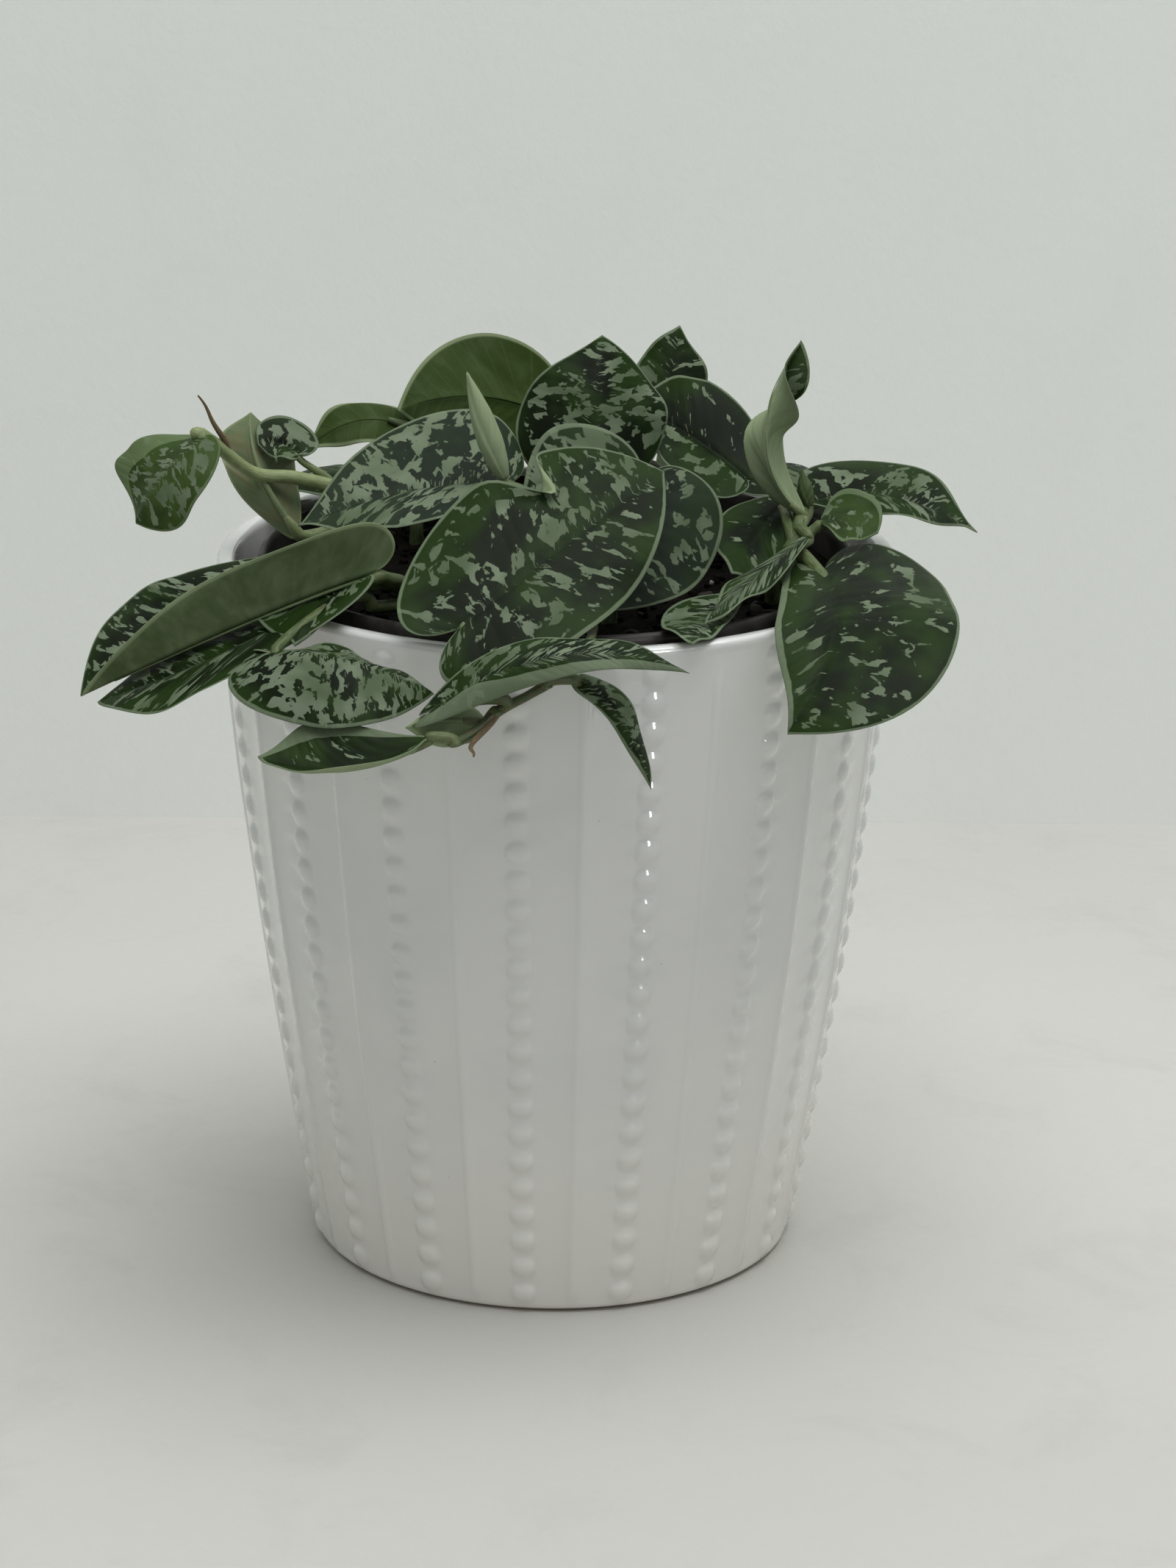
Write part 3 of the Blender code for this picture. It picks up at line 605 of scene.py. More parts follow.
def cubic(ends: tuple, at: Array) -> Array:
    """Points of a cubic curve through its first and last control point."""
    (p0, p1, p2, p3), t = (np.array(end, float) for end in ends), at[:, None]
    return (1 - t) ** 3 * p0 + 3 * (1 - t) ** 2 * t * p1 + 3 * (1 - t) * t**2 * p2 + t**3 * p3


def smooth_path(points: tuple, per_span: int) -> Array:
    """A smooth curve through every given point.

    Args:
        points: The points to pass through.
        per_span: How many points each span gets.

    Returns:
        The curve's points.
    """
    pts = np.array(points, float)
    ends = np.vstack([2 * pts[0] - pts[1], pts, 2 * pts[-1] - pts[-2]])
    path = []
    for before, start, end, after in zip(ends, ends[1:], ends[2:], ends[3:]):
        handles = (start, start + (end - before) / 6, end - (after - start) / 6, end)
        path.extend(cubic(handles, np.arange(per_span) / per_span))
    return np.array(path + [pts[-1]])


def smoothstep(value: Array, low: float, high: float) -> Array:
    """0 below low, 1 above high and a soft change between."""
    share = np.clip((value - low) / (high - low), 0, 1)
    return share * share * (3 - 2 * share)


def all_round(steps: int) -> Array:
    """The angles of evenly spaced points all round."""
    return np.linspace(0, FULL_TURN, steps, endpoint=False)


def ring(radius: Array | float, z: Array | float, angle: Array) -> Array:
    """Points round the upright axis, with angle 0 in front."""
    return np.stack([radius * np.sin(angle), -radius * np.cos(angle), z + 0 * angle], axis=-1)


def sweep(path: Array, radii: Array, sides: int) -> tuple[Array, Array]:
    """Rings of points round a path, turned as little as can be from one to the next.

    Args:
        path: The path's points.
        radii: The radius at each.
        sides: Points in a ring.

    Returns:
        The rings, and the distance along the path of each.
    """
    tangents = unit(np.gradient(path, axis=0))
    rings, aside = [], unit(np.cross(tangents[0], (0.31, -0.86, 0.41)))
    turns = all_round(sides)[:, None]
    for place, tangent, radius in zip(path, tangents, radii):
        aside = unit(aside - (aside @ tangent) * tangent)
        rings.append(place + radius * (np.cos(turns) * aside + np.sin(turns) * np.cross(tangent, aside)))
    steps = np.linalg.norm(np.diff(path, axis=0), axis=1)
    return np.array(rings), np.concatenate([[0], np.cumsum(steps)])


@dataclass
class Mould:
    """Grids of points gathered into one mesh, with each face's skin and each point's shade values."""

    name: str
    points: list = field(default_factory=list)
    faces: list = field(default_factory=list)
    skins: list = field(default_factory=list)
    values: dict = field(default_factory=lambda: {"veins": [], "leaf": [], "tint": []})
    count: int = 0

    def add_grid(self, points: Array, skins: Array | int = 0, wrap: bool = True, **values: Array) -> None:
        """Adds a grid of quads.

        Args:
            points: The points, as rows, columns and places.
            skins: Each face's material slot, or one for all.
            wrap: Whether the last column joins the first.
            values: Shade values by name, shaped to fit the points.
        """
        rows, columns = points.shape[:2]
        index = self.count + np.arange(rows * columns).reshape(rows, columns)
        if wrap:
            index = np.hstack([index, index[:, :1]])
        quads = np.stack((index[:-1, :-1], index[:-1, 1:], index[1:, 1:], index[1:, :-1]), axis=-1)
        self.skins.append(np.broadcast_to(skins, quads.shape[:2]).reshape(-1))
        self.faces.append(quads.reshape(-1, 4))
        self.points.append(points.reshape(-1, 3))
        for name, stored in self.values.items():
            given = np.broadcast_to(values.get(name, np.zeros(3)), points.shape)
            stored.append(given.reshape(-1, 3))
        self.count += rows * columns

    def add_tube(self, path: Array, radii: Array, sides: int, skin: Skin, tint: Place, seed: float) -> None:
        """Adds a closed round tube.

        Args:
            path: Its middle line.
            radii: Its radius at each point.
            sides: Points round it.
            skin: Its surface.
            tint: Its paleness, brownness and freshness.
            seed: Where in the pattern it starts.
        """
        first, last = unit(path[0] - path[1]), unit(path[-1] - path[-2])
        path = np.vstack([path[0] + 0.4 * radii[0] * first, path[0] + 0.3 * radii[0] * first, path,
                          path[-1] + 0.3 * radii[-1] * last, path[-1] + 0.4 * radii[-1] * last])
        radii = np.concatenate([[0, 0.75 * radii[0]], radii, [0.75 * radii[-1], 0]])
        rings, along = sweep(path, radii, sides)
        turns, along = np.broadcast_arrays(all_round(sides), along[:, None])
        veins = np.stack([along, 2 * np.cos(turns), seed + 0.6 * np.sin(turns)], axis=-1)
        self.add_grid(rings, skin.value, veins=veins, leaf=np.array((0, NO_MARGIN, 0)), tint=np.array(tint))

    def build(self, scale: float = MM) -> Object:
        """Makes the mesh object.

        Args:
            scale: From the grids' unit to metres.

        Returns:
            The object, linked to the scene.
        """
        mesh = bpy.data.meshes.new(self.name)
        mesh.from_pydata(np.vstack(self.points) * scale, [], np.vstack(self.faces).tolist())
        mesh.polygons.foreach_set("material_index", np.concatenate(self.skins).astype(np.int32))
        for name, stored in self.values.items():
            layer = mesh.attributes.new(name, "FLOAT_VECTOR", "POINT")
            layer.data.foreach_set("vector", np.vstack(stored).astype(np.float32).reshape(-1))
        bm = bmesh.new()
        bm.from_mesh(mesh)
        bmesh.ops.remove_doubles(bm, verts=bm.verts, dist=WELD)
        bm.to_mesh(mesh)
        bm.free()
        mesh.shade_smooth()
        obj = bpy.data.objects.new(self.name, mesh)
        bpy.context.scene.collection.objects.link(obj)
        return obj


def dress(obj: Object, node: str, slot: Slot, *finishes: Finish) -> Object:
    """Gives a piece its materials, makes it stand for a CAD node and reports it.

    Args:
        obj: The piece.
        node: The node.
        slot: The record's slot for it; not used.
        finishes: Its finishes, in the order of its material slots.

    Returns:
        The piece.
    """
    for finish in finishes:
        obj.data.materials.append(finish.material())
    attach(obj, "root")
    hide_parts(node)
    LOG.info("%s: %d faces", obj.name, len(obj.data.polygons))
    return obj


@dataclass
class CoverPot:
    """The glazed pot with its columns of raised beads and the narrow ribs between them."""

    height: float = 169.0
    foot_radius: float = 57.5
    rim_radius: float = 80.0
    belly: float = 2.1
    wall: float = 4.4
    floor: float = 6.0
    columns: int = 16
    first_column: float = -6.5  # degrees
    beads: int = 23
    bead_pitch: float = 7.19
    bead_start: float = 1.2
    bead_half: float = 3.0
    bead_height: float = 0.80  # share of the pitch
    bead_relief: float = 1.15
    bead_link: float = 0.08  # share of the relief that joins two beads
    link_half: float = 0.72  # share of the bead's half width
    bead_round: float = 2.1
    bead_dome: float = 0.66
    rib_half: float = 1.4
    rib_relief: float = 0.6
    rib_gap: float = 0.23  # share of the pitch from a rib to the plain wall's stop
    rib_start: tuple[float, float] = (1.0, 5.0)  # heights over which a rib grows out of the wall
    rib_end: tuple[float, float] = (158.0, 165.5)
    steps_per_bead: int = 8
    bead_stops: tuple = (-3.2, -2.85, -2.3, -1.6, -0.8, 0, 0.8, 1.6, 2.3, 2.85, 3.2)
    rib_stops: tuple = (-1.8, -1.2, -0.6, 0, 0.6, 1.2, 1.8)

    def radius(self, z: Array) -> Array:
        """The plain wall's outer radius at a height."""
        share = z / self.height
        return (self.foot_radius + (self.rim_radius - self.foot_radius) * share
                + 4 * self.belly * share * (1 - share))

    def relief(self, offset: Array, beyond: Array, z: Array) -> Array:
        """How far the glaze stands out from the plain wall.

        Args:
            offset: Sideways distance from the middle of the column.
            beyond: Sideways distance from the middle of the rib.
            z: Height.

        Returns:
            The relief in mm.
        """
        number = (z - self.bead_start) / self.bead_pitch
        phase = np.abs(number - np.floor(number) - 0.5) * 2
        inside = (number > 0) & (number < self.beads)
        sideways = np.clip(np.abs(offset) / self.bead_half, 0, 1)
        up_down = np.clip(phase / self.bead_height, 0, 1)
        dome = np.clip(1 - sideways**self.bead_round - up_down**self.bead_round, 0, 1) ** self.bead_dome
        link = self.bead_link * np.clip(1 - (sideways / self.link_half) ** 2, 0, 1)
        bead = self.bead_relief * np.maximum(dome, link) * inside
        fade = smoothstep(z, *self.rib_start) * (1 - smoothstep(z, *self.rib_end))
        rib = self.rib_relief * np.clip(1 - (np.abs(beyond) / self.rib_half) ** 2, 0, 1) ** 0.8 * fade
        return np.maximum(bead, rib)

    def angles(self) -> tuple[Array, Array]:
        """Sideways stops round the pot.

        Returns:
            Each stop's turn, counted in columns, and its mm beside it.
        """
        turns, beside = [], []
        for column in range(self.columns):
            rib = column + 0.5
            turns += [column] * len(self.bead_stops) + [rib - self.rib_gap]
            turns += [rib] * len(self.rib_stops) + [rib + self.rib_gap]
            beside += [*self.bead_stops, 0, *self.rib_stops, 0]
        return np.array(turns, float), np.array(beside, float)

    def wall_grid(self) -> Array:
        """The relief wall from the foot up to below the lip.

        Returns:
            Its points, row by row.
        """
        rows = np.arange(self.beads * self.steps_per_bead + 1) / self.steps_per_bead
        z = (self.bead_start + self.bead_pitch * rows)[:, None]
        turns, beside = self.angles()
        radius = self.radius(z)
        pitch = FULL_TURN / self.columns
        column = turns + beside / radius / pitch
        angle = math.radians(self.first_column) + column * pitch
        offset = (column - np.round(column)) * pitch * radius
        beyond = (column - 0.5 - np.round(column - 0.5)) * pitch * radius
        uneven = 0.10 * np.sin(3 * angle + 0.05 * z) + 0.05 * np.sin(7 * angle - 0.11 * z)
        return ring(radius + self.relief(offset, beyond, z) + uneven, z, angle)

    def build(self) -> Object:
        """Builds the pot as one closed skin: middle of the foot, wall, lip, inside, middle of the floor.

        Returns:
            The pot.
        """
        wall = self.wall_grid()
        foot_angle, angle = (np.arctan2(row[:, 0], -row[:, 1]) for row in (wall[0], wall[-1]))
        foot = ((0.001, 1.3), (46, 1.3), (49, 1.2), (50.2, 0.5), (51.2, 0.05), (55.2, 0.0), (56.3, 0.15),
                (57.0, 0.6))
        rim, inner = self.rim_radius, self.rim_radius - self.wall
        lip = [(rim - 0.05, 167.2), (rim - 0.05, 168.0), (rim - 0.35, 168.6), (rim - 1.0, 168.95),
               (rim - 1.9, 169.0), (inner + 1.4, 168.95), (inner + 0.6, 168.65), (inner + 0.15, 168.0),
               (inner, 167.0)]
        heights = (160, 150, 135, 120, 100, 80, 60, 40, 25, 15, 10)
        inside = [(self.radius(z) - self.wall, z) for z in heights]
        bottom = [(52.6, 8.0), (51.5, 6.9), (49.5, 6.2)]
        bottom += [(radius, self.floor) for radius in (46, 20, 0.001)]
        mould = Mould("cover_pot_glazed")
        mould.add_grid(np.concatenate([[ring(r, z, foot_angle) for r, z in foot], wall,
                                       [ring(r, z, angle) for r, z in lip + inside + bottom]]))
        return dress(mould.build(), "cover_pot", Slot.GLAZE, Glaze())


@dataclass
class GrowingPot:
    """The thin plastic pot inside, with its rolled rim and drainage holes."""

    foot_radius: float = 50.0
    top_radius: float = 68.6
    rim_radius: float = 70.4
    wall: float = 1.2
    bottom: float = 6.3
    top: float = 169.3
    rim_height: float = 8.0
    holes: int = 6
    hole_radius: float = 4.5
    hole_circle: float = 34.0
    hole_steps: int = 28
    steps: int = 144
    sharp: float = 50.0  # degrees

    def radius(self, z: float) -> float:
        """The outer radius at a height."""
        share = (z - self.bottom) / (self.top - self.rim_height - self.bottom)
        return self.foot_radius + (self.top_radius - self.foot_radius) * share

    def profile(self) -> list[tuple[float, float]]:
        """Outside and inside of the wall, from the floor's edge round the rim.

        Returns:
            Each stop's radius and height.
        """
        rim_foot = self.top - self.rim_height
        outside = [(self.foot_radius - 1.0, self.bottom), (self.foot_radius - 0.3, self.bottom + 0.3)]
        outside += [(self.radius(z) + 0.25 * math.sin(z / 3.1) * (z > 140), z)
                    for z in np.linspace(7.5, rim_foot, 40)]
        rim, inner = self.rim_radius, self.radius(self.top) - self.wall
        roll = [(rim - 0.5, rim_foot), (rim, rim_foot + 0.5), (rim, 167.8), (rim - 0.3, 168.8),
                (rim - 0.9, self.top), (inner + 0.5, self.top), (inner + 0.1, 168.9)]
        inside = [(self.radius(z) - self.wall, z)
                  for z in (167.5, 160, 140, 100, 60, 20, self.bottom + self.wall + 0.8)]
        inside.append((self.radius(self.bottom) - self.wall - 0.8, self.bottom + self.wall))
        return outside + roll + inside

    def floor(self) -> bmesh.types.BMesh:
        """The floor with its holes, filled between rings of edges and given its thickness.

        Returns:
            The floor in mm, which the caller frees.
        """
        bm = bmesh.new()
        turns = FULL_TURN * np.arange(self.holes) / self.holes
        middles = [self.hole_circle * np.array((math.cos(turn), math.sin(turn), 0)) for turn in turns]
        rounds = [(self.foot_radius - 1.0, np.zeros(3), self.steps)]
        rounds += [(self.hole_radius, middle, self.hole_steps) for middle in middles]
        edges = []
        for radius, middle, steps in rounds:
            for z in (self.bottom, self.bottom + self.wall):
                verts = [bm.verts.new(place) for place in ring(radius, z, all_round(steps)) + middle]
                edges.append([bm.edges.new(pair) for pair in zip(verts, verts[1:] + verts[:1])])
        for level in (0, 1):
            chosen = [edge for loop in edges[level::2] for edge in loop]
            bmesh.ops.triangle_fill(bm, edges=chosen, use_beauty=True, use_dissolve=False)
        for low, high in zip(edges[2::2], edges[3::2]):
            bmesh.ops.bridge_loops(bm, edges=low + high)
        bmesh.ops.recalc_face_normals(bm, faces=bm.faces)
        return bm

    def build(self) -> Object:
        """Builds the pot's wall and floor as one piece.

        Returns:
            The pot.
        """
        mould = Mould("growing_pot_plastic")
        mould.add_grid(np.array([ring(r, z, all_round(self.steps)) for r, z in self.profile()]))
        obj = mould.build()
        base = self.floor()
        base.transform(Matrix.Scale(MM, 4))
        base.from_mesh(obj.data)
        bmesh.ops.remove_doubles(base, verts=base.verts, dist=WELD)
        base.to_mesh(obj.data)
        base.free()
        obj.data.shade_smooth()
        obj.data.set_sharp_from_angle(angle=math.radians(self.sharp))
        return dress(obj, "growing_pot", Slot.PLASTIC, Plastic())


@dataclass(frozen=True)
class Loose:
    """One kind of loose bit on the mix, with its least and greatest half size on each axis."""

    finish: Finish
    count: int
    sizes: tuple


@dataclass
class Soil:
    """The potting mix: a rough top with loose crumbs, bark chips and a few white grains."""

    top: float = 162.5
    bottom: float = 7.8
    top_radius: float = 67.2
    bottom_radius: float = 48.5
    rings: int = 56
    steps: int = 150
    seed: int = 7
    clear: float = 3.5  # mm at the edge without loose bits
    rough: float = 0.28  # unevenness of a loose bit
    tilt: float = 0.5
    stand: float = 0.25  # how high its middle lies, as a share of its half height
    bumps: tuple = ((1.1, 19, 1.7), (1.0, 5.5, 4.2), (0.45, 1.9, 9.1))  # height, width and layer
    loose: tuple[Loose, ...] = (
        Loose(PottingMix(), 620, ((0.6, 1.9), (0.6, 1.7), (0.5, 1.2))),
        Loose(Chip("bark chips", (0.012, 0.008, 0.005), (0.045, 0.028, 0.016)), 46,
              ((1.6, 4.2), (1.0, 2.2), (0.4, 0.9))),
        Loose(Chip("white grains", (0.20, 0.19, 0.175), (0.36, 0.35, 0.33)), 16,
              ((0.5, 1.1), (0.5, 1.1), (0.5, 0.9))),
    )

    def lift(self, x: float, y: float) -> float:
        """How far the top stands out from its plain height at a place."""
        return sum(high * noise.noise(Vector((x / wide, y / wide, layer)))
                   for high, wide, layer in self.bumps)

    def plug(self) -> Array:
        """The plug's rough top, plain side and flat underside.

        Returns:
            Its points, row by row.
        """
        angle = all_round(self.steps)
        rows = []
        for share in np.linspace(0, 1, self.rings + 1):
            row = ring(self.top_radius * share, self.top, angle)
            row[:, 2] += [self.lift(x, y) * min(1, 8 * (1 - share) + 0.3) for x, y, _ in row]
            rows.append(row)
        below = ((self.top_radius - 0.2, self.top - 3), (self.bottom_radius, self.bottom),
                 (0.001, self.bottom))
        return np.array(rows + [ring(radius, z, angle) for radius, z in below])

    def lump(self, draw: random.Random, corners: list, sizes: tuple) -> Array:
        """A jittered round or flat lump at a drawn place on the top.

        Args:
            draw: Where random numbers come from.
            corners: A round lump's corners.
            sizes: Its least and greatest half size on each axis.

        Returns:
            Its points.
        """
        radius = (self.top_radius - self.clear) * math.sqrt(draw.random())
        angle = draw.uniform(0, FULL_TURN)
        x, y = radius * math.sin(angle), -radius * math.cos(angle)
        size = np.array([draw.uniform(*pair) for pair in sizes])
        turn = Matrix.Rotation(draw.uniform(0, FULL_TURN), 3, "Z")
        turn = turn @ Matrix.Rotation(draw.uniform(-self.tilt, self.tilt), 3, "X")
        points = [turn @ Vector(corner * size * (1 + self.rough * draw.uniform(-1, 1)))
                  for corner in corners]
        return np.array(points) + (x, y, self.top + self.lift(x, y) + self.stand * size[2])

    def build(self) -> Object:
        """Builds the plug and everything loose on it as one piece.

        Returns:
            The mix.
        """
        mould = Mould("soil_mix")
        mould.add_grid(self.plug())
        obj = mould.build()
        ball = bmesh.new()
        bmesh.ops.create_icosphere(ball, subdivisions=1, radius=1)
        corners = [np.array(vert.co) for vert in ball.verts]
        shape = np.array([[vert.index for vert in face.verts] for face in ball.faces])
        ball.free()
        draw = random.Random(self.seed)
        points, faces, skins = [], [], []
        for kind, loose in enumerate(self.loose):
            for _ in range(loose.count):
                faces.append(shape + len(points) * len(corners))
                points.append(self.lump(draw, corners, loose.sizes))
                skins += [kind] * len(shape)
        bits = bpy.data.meshes.new("loose")
        bits.from_pydata(np.vstack(points) * MM, [], np.vstack(faces).tolist())
        bits.polygons.foreach_set("material_index", skins)
        bm = bmesh.new()
        bm.from_mesh(obj.data)
        bm.from_mesh(bits)
        bm.to_mesh(obj.data)
        bm.free()
        bpy.data.meshes.remove(bits)
        obj.data.shade_smooth()
        return dress(obj, "soil", Slot.SOIL, *(loose.finish for loose in self.loose))


@dataclass(frozen=True)
class Look:
    """How one leaf is coloured, each from 0 to 1."""

    silver: float = 0.42  # share of the top that is silver
    # above 0 a young green; below 0 the top gets a painted bluish sheen
    fresh_or_sheen: float = 0.0  # how young a green the top has, or how blue below 0
    # partly painted light: set higher on leaves whose underside shows lit from the front or glowing with
    # light through the blade
    pale: float = 0.45  # how pale the underside is
    brown: float = 0.0  # how much of the underside is blotched
    bands: tuple[float, float] = (0.0, 0.0)  # mm of pale margin on the left and right half
    notch: tuple = ()  # a fold in a margin: its half, place along it, depth, width and lift
    rib: float = 1.0  # how far the midrib stands out underneath
    fine: float = 1.0  # how many times finer its veins and patches are


@dataclass(frozen=True)
class Leaf:
    """One blade and its petiole, in millimetres and degrees.

    base is where the petiole joins, crown the middle of the midrib, and left and right the widest
    places of the two halves, seen from the top side with the tip pointing away. joint is the
    place on the stem, from 0 at its root to 1 at its tip. curl turns each half up from midrib to
    margin, lobe is the lobes' reach behind the base, and full is how blunt the tip end is, with
    fuller added to it for the left and the right half.
    """

    joint: float
    base: Place
    crown: Place
    tip: Place
    left: Place
    right: Place
    curl: tuple[float, float] = (-15, -15)
    twist: float = 0
    wave: float = 1.0
    lobe: float = 0.12
    full: float = 0.42
    fuller: tuple[float, float] = (0, 0)
    petiole: float = 1.2
    look: Look = Look()


@dataclass(frozen=True)
class Bud:
    """A young leaf that is still rolled up, in millimetres."""

    joint: float
    base: Place
    tip: Place
    width: float
    petiole: float = 0.9
    look: Look = Look()


@dataclass(frozen=True)
class Vine:
    """One stem, from the soil to its tip, with the leaves and dry bracts that grow on it."""

    name: str
    stem: tuple
    radius: float
    leaves: tuple
    bracts: tuple = ()
    tint: Place = (0.28, 0.35, 0.2)  # the stem's paleness, brownness and freshness


